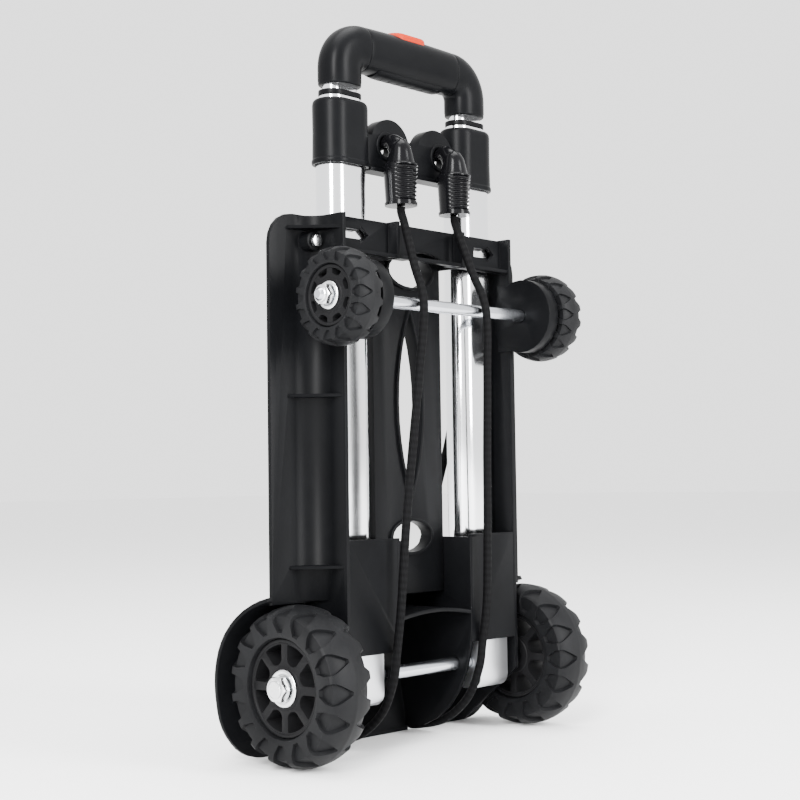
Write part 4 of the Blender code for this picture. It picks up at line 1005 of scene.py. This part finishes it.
@dataclass
class CrossBracket:
    """The cross bracket: a panel with two humps and eyes between two sleeves."""

    shoulder: float = 0.4440
    hump: float = 0.0205
    hump_x: float = 0.0250
    eye_x: float = 0.0295
    eye: float = 0.0078
    eye_z: float = EYE_HEIGHT
    thickness: float = 0.0100
    low: float = 0.4175
    wall: float = 0.0026
    tube: tuple[float, float] = (0.0400, 0.0250)

    def build_panel(self) -> Workpiece:
        """The panel with its two humps and eyes, its edges rounded; the collars round the eyes and the lower
        flange are built on their own.
        """
        tube = middle("outer_tube_left")
        edge = abs(tube.x) - self.tube[0] / 2
        drop = math.degrees(math.asin((self.shoulder - self.eye_z) / self.hump))
        right = arc((self.hump_x, self.eye_z), self.hump, drop, 180 - drop, 22)
        left = [(-x, z) for x, z in reversed(right)]
        outline = [(-edge, self.low), (edge, self.low), (edge, self.shoulder), *right, *left,
                   (-edge, self.shoulder)]
        eyes = [arc((side.value * self.eye_x, self.eye_z), self.eye, 0, 348.75, 31) for side in Side]
        self.y = tube_front() + self.thickness / 2 + PANEL_SETBACK
        axes = Matrix.Translation((0, self.y, 0)) @ Matrix(((1, 0, 0, 0), (0, 0, -1, 0),
                                                            (0, 1, 0, 0), (0, 0, 0, 1)))
        panel = Workpiece.plate("bracket_panel", [outline, *eyes], self.thickness / 2, axes)
        return panel.rounded(0.0011, 50, 3)

    def build_collar(self, side: Side) -> Workpiece:
        """The raised ring round an eye."""
        h = self.thickness / 2 + 0.0009
        profile = eased([(self.eye, h), (self.eye + 0.0024, h), (self.eye + 0.0030, -h),
                         (self.eye, -h)], 0.0007)
        centre = (side.value * self.eye_x, self.y, self.eye_z)
        return turned(f"eye_collar_{side.word}", profile, centre, "Y", 48)

    def build_flange(self) -> Workpiece:
        """The thin ledge that runs under the panel between the sleeves."""
        edge = abs(middle("outer_tube_left").x) - self.tube[0] / 2 - 0.001
        flange = Workpiece.plate("bracket_ledge", [[(-edge, -0.0068), (edge, -0.0068), (edge, 0.0060),
                                                    (-edge, 0.0060)]], 0.0013,
                                 Matrix.Translation((0, self.y, self.low + 0.0012)))
        return flange.rounded(0.0006, 50, 2)

    def build_sleeve(self, side: Side) -> Workpiece:
        """The sleeve over an outer tube's top, rounded above and lipped below."""
        low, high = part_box("hook_bracket")
        centre = middle(f"outer_tube_{side.word}")
        bottom, top = low[2] + 0.0005, high[2]
        w, d = (size / 2 + self.wall for size in self.tube)
        inner = self.wall - 0.0003
        neck = self.wall + 0.0018
        lip = [(0.0, bottom), (-0.0004, bottom + 0.0012), (-0.0004, bottom + 0.0030),
               (0.0002, bottom + 0.0040),
               (0.0005, (bottom + top) / 2), (0.0003, top - 0.0040), (0.0008, top - 0.0016),
               (0.0022, top),
               (neck, top), (neck, top - 0.0030), (inner, top - 0.0090), (inner, bottom)]
        loop = eased(lip, 0.0008, 3)
        count = len(loop)

        def place(column: int, row: int) -> Vector:
            inset, height = loop[row % count]
            u, v = oval_point(2 * (w - inset), 2 * (d - inset), column / 96)
            return Vector((centre.x + u, centre.y + v, height))

        return Workpiece.wrapped(f"tube_sleeve_{side.word}", 96, count, place)

    def build(self, finishes: Finishes) -> None:
        """Builds and dresses the bracket."""
        black = finishes["black_plastic"]
        self.build_panel().dressed(black, "black_plastic", "handle", ["hook_bracket"])
        self.build_flange().dressed(black, "black_plastic", "handle")
        for side in Side:
            self.build_collar(side).dressed(black, "black_plastic", "handle")
            self.build_sleeve(side).dressed(black, "black_plastic", "handle", angle=30)


@dataclass
class CordHook:
    """A cord's end: a ribbed boot under a thick glossy hook."""

    side: Side
    ribs: int = 9
    top: float = 0.0325
    radius: float = 0.0129

    def build_boot(self) -> Workpiece:
        """The boot, ribbed on one flank and smooth on the other, flared at its foot."""
        node = f"cord_hook_{self.side.word}"
        low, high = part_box(node)
        x = (low[0] + high[0]) / 2
        y = low[1] + (high[0] - low[0]) / 2
        self.axis = Vector((x, y, low[2]))
        path = [self.axis + Vector((0, 0, 0.0002 + (self.top - 0.0002) * i / 120)) for i in range(121)]

        def size(share: float) -> float:
            foot = 1.0 if share < 0.07 else 0.0
            return self.radius * (0.86 + 0.14 * share) + 0.0008 * foot - 0.0040 * max(0.0,
                                                                                      share - 0.93) / 0.07

        def flank(share: float, part: float) -> float:
            if not 0.10 < share < 0.90:
                return 1.0
            turn = TURN * part
            mask = min(1.0, max(0.0, math.cos(turn + 0.75 * math.pi) * 2.2 + 1.0))
            wave = 0.5 + 0.5 * math.cos(TURN * (share - 0.10) / 0.80 * self.ribs)
            return 1.0 - 0.105 * mask * wave ** 0.7

        return swept(f"ribbed_boot_{self.side.word}", path, size, 48, flank, 0.0001)

    def build_curl(self) -> Workpiece:
        """The hook itself, out of the boot, over the eye's lip and down behind the panel."""
        a, eye = self.axis, EYE_HEIGHT
        panel = tube_front() + PANEL_MIDDLE
        rear = panel + 0.0050 + 0.0034 + 0.0025
        points = [(a.x, a.y, a.z + 0.0270), (a.x, a.y, a.z + 0.0400), (a.x, a.y + 0.0022, eye - 0.0030),
                  (a.x, a.y + 0.0080, eye + 0.0025), (a.x, panel - 0.0030, eye + 0.0030),
                  (a.x, panel + 0.0030, eye + 0.0022), (a.x, rear - 0.0015, eye - 0.0010),
                  (a.x, rear, eye - 0.0070)]
        return swept(f"hook_curl_{self.side.word}", through(points, 60),
                     lambda share: 0.0126 - 0.0080 * min(1.0, share * 1.7) ** 0.8, 32, None, 0.0018)

    def build(self, finishes: Finishes) -> None:
        """Builds and dresses the hook."""
        gloss = finishes["gloss_black_plastic"]
        boot = self.build_boot()
        boot.dressed(gloss, "gloss_black_plastic", "handle", [f"cord_hook_{self.side.word}"], 50)
        self.build_curl().dressed(gloss, "gloss_black_plastic", "handle", angle=50)


@dataclass
class Grip:
    """The three-piece grip with its underside pad and release button."""

    width: float = 0.0330
    depth: float = 0.0270
    centre_z: float = 0.5072
    bend: float = 0.0185
    arch: float = 0.0008
    bore: float = 0.0075
    gap: float = 0.0003
    columns: int = 56

    def __post_init__(self) -> None:
        """Takes the grip's places from the frame."""
        self.tube = middle("inner_tube_right")
        self.half = reach("grip").x
        self.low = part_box("grip_elbow_right")[0][2]

    def section(self, part: float) -> Point:
        """A point of the rounded section, in shares of its half sizes."""
        turn = TURN * part
        c, s = math.cos(turn), math.sin(turn)
        return math.copysign(abs(c) ** 0.85, c), math.copysign(abs(s) ** 0.85, s)

    def lofted(self, name: str, stations: Sequence[tuple[Vector, float, float, float]]) -> Workpiece:
        """A skin through (centre, tilt, width, depth) stations, closed at both ends."""
        count = len(stations) + 1

        def place(column: int, row: int) -> Vector:
            centre, tilt, width, depth = stations[min(max(row - 1, 0), len(stations) - 1)]
            if row in (0, count):
                return centre.copy()
            a, b = self.section(column / self.columns)
            across = Vector((math.cos(tilt), 0, math.sin(tilt)))
            return centre + across * (a * width / 2) + Vector((0, b * depth / 2, 0))

        return Workpiece.wrapped(name, self.columns, count, place)

    def eased_ends(self, stations: list[tuple[Vector, float, float, float]], ends: tuple[float, float]
                   ) -> list[tuple[Vector, float, float, float]]:
        """Adds a small rounding at both ends of a loft."""
        rounded = list(stations)
        for index, radius in ((0, ends[0]), (-1, ends[1])):
            centre, tilt, width, depth = stations[index]
            inner = stations[1 if index == 0 else -2][0]
            way = (inner - centre).normalized()
            extra = []
            for step in (0, 1, 2):
                turn = math.radians(90 * step / 3)
                shrink = 2 * radius * (1 - math.sin(turn))
                extra.append((centre + way * radius * (1 - math.cos(turn)), tilt, width - shrink,
                              depth - shrink))
            moved = (centre + way * radius, tilt, width, depth)
            rounded = extra + [moved] + rounded[1:] if index == 0 else rounded[:-1] + [moved] + extra[::-1]
        return rounded

    def build_elbow(self, side: Side) -> Workpiece:
        """One corner of the grip, from the seam round to the tube."""
        s, x = side.value, abs(self.tube.x)
        knee = self.centre_z - self.bend
        y = self.tube.y
        stations = [(Vector((s * x, y, self.low)), 0.0, self.width * 0.985, self.depth * 0.985),
                    (Vector((s * x, y, self.low + 0.0026)), 0.0, self.width * 0.985,
                     self.depth * 0.985),
                    (Vector((s * x, y, self.low + 0.0034)), 0.0, self.width, self.depth)]
        for i in range(17):
            turn = math.radians(90) * i / 16
            centre = Vector((s * (x - self.bend + self.bend * math.cos(turn)), y,
                             knee + self.bend * math.sin(turn)))
            stations.append((centre, s * turn, self.width, self.depth))
        end = Vector((s * (self.half + self.gap), y, self.centre_z))
        stations.append((end, s * TURN / 4, self.width, self.depth))
        elbow = self.lofted(f"elbow_{side.word}", self.eased_ends(stations, (0.0012, 0.0005)))
        span = sorted((s * (self.half - 0.01), s * (x + 0.0028)))
        bore = Workpiece.cylinder("bore", self.bore, (span[0], span[1]), (y, self.centre_z), 40)
        return elbow.combined(bore, "DIFFERENCE")

    def build_middle(self) -> Workpiece:
        """The straight middle, slightly arched, slotted for the button and bored for the yoke."""
        stations = []
        for i in range(25):
            x = self.half * (2 * i / 24 - 1)
            rise = self.arch * (1 - (x / self.half) ** 2)
            centre = Vector((x, self.tube.y, self.centre_z + rise / 2))
            stations.append((centre, TURN / 4, self.width + rise, self.depth))
        grip = self.lofted("grip_middle", self.eased_ends(stations, (0.0005, 0.0005)))
        bore = Workpiece.cylinder("bore", self.bore, (-0.06, 0.06), (self.tube.y, self.centre_z), 40)
        button = reach("release_button")
        outline = [oval_point(2 * button.x + 0.0006, 2 * button.y + 0.0006, i / 64) for i in range(64)]
        slot = Workpiece.plate("slot", [outline], 0.02,
                               Matrix.Translation((0, self.tube.y, self.centre_z + 0.02)))
        return grip.combined(bore, "DIFFERENCE").combined(slot, "DIFFERENCE")

    def build_pad(self) -> Workpiece:
        """The ribbed pad let into the grip's underside."""
        length, columns, rows = self.half * 1.5, 96, 12
        y, z = self.tube.y, self.centre_z - self.width / 2

        def place(column: int, row: int) -> Vector:
            u, v = column / columns * 2 - 1, row / rows * 2 - 1
            rib = 0.00028 * (0.5 + 0.5 * math.cos(TURN * 22 * u)) * (abs(u) < 0.94)
            x = u * length / 2
            dip = (1 - abs(v) ** 3) * 0.0007 * (1 - abs(u) ** 20)
            curve = 0.0031 * v * v
            return Vector((x, y + v * 0.0072, z + curve - dip - rib * (1 - v ** 4)))

        pad = Workpiece.wrapped("grip_pad", columns, rows, place)
        return pad.modified("SOLIDIFY", thickness=0.0012, offset=-1.0).cleaned()

    def build_button(self) -> Workpiece:
        """The oval release button, crowned."""
        centre, half = middle("release_button"), reach("release_button")
        rows = [(0.0, 1.0), (half.z * 1.15, 1.0), (half.z * 1.55, 0.985), (half.z * 1.78, 0.94),
                (half.z * 1.90, 0.84),
                (half.z * 1.96, 0.66), (half.z * 1.99, 0.40), (half.z * 2.0, 0.0)]
        low = centre.z - half.z

        def place(column: int, row: int) -> Vector:
            if row == 0:
                return Vector((centre.x, centre.y, low))
            height, share = rows[row - 1]
            inset = (1 - share) * half.y
            u, v = oval_point(2 * (half.x - inset), max(2 * (half.y - inset), 1e-7), column / 72)
            return Vector((centre.x + u, centre.y + v, low + height))

        return Workpiece.wrapped("button_cap", 72, len(rows), place)

    def build(self, finishes: Finishes) -> None:
        """Builds and dresses the grip."""
        black = finishes["black_plastic"]
        for side in Side:
            elbow = self.build_elbow(side)
            elbow.dressed(black, "black_plastic", "grip_stage", [f"grip_elbow_{side.word}"], 32)
        self.build_middle().dressed(black, "black_plastic", "grip_stage", ["grip"], 32)
        self.build_pad().dressed(black, "black_plastic", "grip_stage")
        red = finishes["red_button"]
        self.build_button().dressed(red, "red_button", "release", ["release_button"], 50)


@dataclass
class ReturnSpring:
    """The spring under the yoke; the button squashes it, but this mesh keeps one shape."""

    wire: float = 0.0007
    turns: int = 3

    def build(self, finishes: Finishes) -> None:
        """Builds and dresses the spring, and bakes its place into its mesh."""
        low, high = (Vector(corner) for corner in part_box("return_spring"))
        centre, radius = (low + high) / 2, (high.x - low.x) / 2 - self.wire
        start, end = (Vector((centre.x, centre.y, z)) for z in (low.z + self.wire, high.z - self.wire))
        count = 48 * self.turns
        coil = [start.lerp(end, i / count) + Vector((radius * math.cos(TURN * self.turns * i / count),
                                                     radius * math.sin(TURN * self.turns * i / count), 0))
                for i in range(count + 1)]
        spring = swept("coil_spring", coil, self.wire * 0.95, 10)
        obj = spring.dressed(finishes["satin_steel"], "satin_steel", None, ["return_spring"], 50)
        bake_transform(obj)


# ------------------------------------------------------------------ cords
@dataclass
class BungeeCord:
    """One elastic cord, from its hook over the front axle, round the deck's foot and up the load side."""

    side: Side
    diameter: float = 0.0062
    bend: tuple[float, float] = (0.3795, 0.3900)

    def route(self) -> list[Place]:
        """The points that the cord is drawn through, the same as in the design."""
        deck = tube_front() + TUBE_PROUD
        axle = middle("front_axle")
        front = axle.y - deck - reach("front_axle").z - self.diameter / 2 - 0.0006
        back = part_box("deck")[1][1] - deck + self.diameter / 2 + 0.0006
        points = [
            (0.0295, -0.0280, 0.3911),
            (0.0295, -0.0280, 0.3869),
            (0.0297, -0.0315, 0.3775),
            (0.0320, -0.0420, 0.3480),
            (0.0345, front, 0.3180),
            (0.0375, -0.0508, 0.2700),
            (0.0415, -0.0460, 0.2100),
            (0.0448, -0.0425, 0.1600),
            (0.0470, -0.0390, 0.1050),
            (0.0470, -0.0340, 0.0710),
            (0.0468, -0.0305, 0.0520),
            (0.0465, -0.0190, 0.0290),
            (0.0462, 0.0030, 0.0115),
            (0.0460, 0.0290, 0.0046),
            (0.0460, 0.0420, 0.0044),
            (0.0458, 0.0480, 0.0150),
            (0.0455, back - 0.0008, 0.0420),
            (0.0460, back - 0.0002, 0.0620),
            (0.0490, 0.0465, 0.0950),
            (0.0590, 0.0340, 0.1480),
            (0.0715, 0.0240, 0.2050),
            (0.0880, 0.0150, 0.2850),
            (0.0988, 0.0105, 0.3350),
            (0.0995, 0.0100, 0.3480),
            (0.0995, 0.0100, 0.3534),
        ]
        return [(self.side.value * x, deck + y, z) for x, y, z in points]

    def path(self) -> list[Vector]:
        """The cord's centre line, with closer points where it leaves the deck for the hook."""
        coarse = through(self.route(), 460)
        fine = [coarse[0]]
        for a, b in zip(coarse, coarse[1:]):
            parts = 10 if b.z > self.bend[0] - 0.002 and b.y < coarse[0].y + 0.002 else 1
            fine += [a.lerp(b, (k + 1) / parts) for k in range(parts)]
        return fine

    def build(self, finishes: Finishes) -> None:
        """Builds and dresses the cord, and bakes its place into its mesh."""
        path = self.path()
        name = f"elastic_cord_{self.side.word}"
        cord = swept(name, path, self.diameter / 2, 14)
        length = length_of(path)
        finish = BraidedSheath(f"braided_sheath_{self.side.word}", length=length)
        obj = cord.dressed(finish.make(), "cord_sheath", None, [f"bungee_cord_{self.side.word}"], 60)
        tuple(path[0])
        [tuple(p) for p in path]
        start, end = path[0].copy(), path[0].copy()
        start.z, end.z = self.bend
        tuple(start)
        tuple(end)
        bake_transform(obj)
        LOG.info("%s: %.3f m long", name, length)


# ------------------------------------------------------------------ studio
@dataclass
class Studio:
    """Camera, pale floor and soft light."""

    lens: float = 68.64
    stand: Place = (-0.8354, -0.7731, 0.1933)   # from the deck's underside, as y is
    yaw: float = 47.1
    pitch: float = 3.0
    roll: float = -0.8

    def build_camera(self) -> None:
        """The camera, a little below the middle and looking slightly up."""
        deck = tube_front() + TUBE_PROUD
        yaw, pitch, roll = (math.radians(a) for a in (self.yaw, self.pitch, self.roll))
        ahead = Vector((math.sin(yaw) * math.cos(pitch), math.cos(yaw) * math.cos(pitch),
                        math.sin(pitch)))
        right0 = Vector((math.cos(yaw), -math.sin(yaw), 0))
        up0 = right0.cross(ahead)
        right = right0 * math.cos(roll) + up0 * math.sin(roll)
        up = up0 * math.cos(roll) - right0 * math.sin(roll)
        data = bpy.data.cameras.new("camera")
        data.lens, data.sensor_width = self.lens, 36
        camera = bpy.data.objects.new("camera", data)
        camera.matrix_world = (Matrix.Translation(Vector(self.stand) + Vector((0, deck, 0)))
                               @ Matrix((right, up, -ahead)).transposed().to_4x4())
        bpy.context.scene.collection.objects.link(camera)
        bpy.context.scene.camera = camera

    def build_floor(self) -> None:
        """The pale floor."""
        Workpiece._alone()
        bpy.ops.mesh.primitive_plane_add(size=30, location=(0, 0, -0.0004))
        floor = bpy.context.object
        floor.name = "floor"
        g = Graph("pale_floor")
        mottle = g.noise(g.coordinates((1, 1, 1)), 3, 3)
        floor.data.materials.append(g.finish(Base_Color=g.blend(mottle, (0.92, 0.92, 0.92),
                                                                (0.94, 0.94, 0.94)),
                                             Roughness=0.65))

    def build_light(self, name: str, place: Place, aim: Place, size: Point, power: float) -> None:
        """One soft rectangular light."""
        data = bpy.data.lights.new(name, "AREA")
        data.shape, data.size, data.size_y, data.energy = "RECTANGLE", *size, power
        light = bpy.data.objects.new(name, data)
        way = Vector(aim) - Vector(place)
        light.matrix_world = Matrix.Translation(place) @ way.to_track_quat("-Z",
                                                                           "Y").to_matrix().to_4x4()
        bpy.context.scene.collection.objects.link(light)

    def build(self) -> None:
        """Builds the studio."""
        self.build_camera()
        self.build_floor()
        world = bpy.data.worlds.new("studio")
        world.use_nodes = True
        world.node_tree.nodes["Background"].inputs["Color"].default_value = (1, 1, 1, 1)
        world.node_tree.nodes["Background"].inputs["Strength"].default_value = 2.2
        bpy.context.scene.world = world
        aim = (0, 0, 0.26)
        self.build_light("key", (-1.6, -0.9, 1.1), aim, (0.5, 1.6), 130)
        self.build_light("front", (0.5, -1.9, 0.9), aim, (0.6, 1.5), 90)
        self.build_light("top", (0, -0.1, 2.2), aim, (1.6, 1.2), 60)


def dress_hidden(finishes: Finishes) -> None:
    """Gives the frame's own pieces that still show, or lie inside, their materials."""
    slots = {"mid_glide": "black_plastic", "lock_block": "black_plastic", "release_rod": "satin_steel",
             "rear_bush": "satin_steel", "front_bush": "satin_steel"}
    for side in Side:
        for node, slot in slots.items():
            set_material(f"{node}_{side.word}", finishes[slot])
    set_material("release_yoke", finishes["black_plastic"])


def set_material(node: str, material: bpy.types.Material) -> None:
    """Assigns one material to a frame node."""
    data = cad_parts[node].data
    if not data.materials:
        data.materials.append(material)
    for index in range(len(data.materials)):
        data.materials[index] = material


def main() -> None:
    """Builds the studio, then each sub-assembly in turn."""
    logging.basicConfig(level=logging.INFO, format="%(message)s", stream=sys.stdout)
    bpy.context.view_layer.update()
    finishes = Finishes()
    Studio().build()
    for side in Side:
        BungeeCord(side).build(finishes)
    Platform().build(finishes)
    for node in ("rear_axle", "front_axle"):
        Axle(node).build(finishes)
    for side in Side:
        Wheel("rear", side, (0.0295, 0.0215, 0.0163, 0.0029), 0.0026, 0.0140, 0.0160).build(finishes)
        Wheel("front", side, (0.0186, 0.0156, 0.0143, 0.0026), 0.0017, 0.0112, 0.0130).build(finishes)
        Stage("outer_tube", side, "handle", 0.0015).build(finishes)
        Stage("mid_tube", side, "middle_stage", 0.0015).build(finishes)
        Stage("inner_tube", side, "grip_stage", 0.0012).build(finishes)
        Stage("mid_collar", side, "middle_stage", 0.0025, "black_plastic").build(finishes)
        leg = Workpiece.softened_copy(f"foot_{side.word}", f"hinge_leg_{side.word}", 0.0006, 40)
        leg.dressed(finishes["satin_aluminium"], "satin_aluminium", "handle",
                    [f"hinge_leg_{side.word}"])
        CordHook(side).build(finishes)
    CrossBracket().build(finishes)
    Grip().build(finishes)
    ReturnSpring().build(finishes)
    dress_hidden(finishes)


if __name__ == "__main__":
    main()
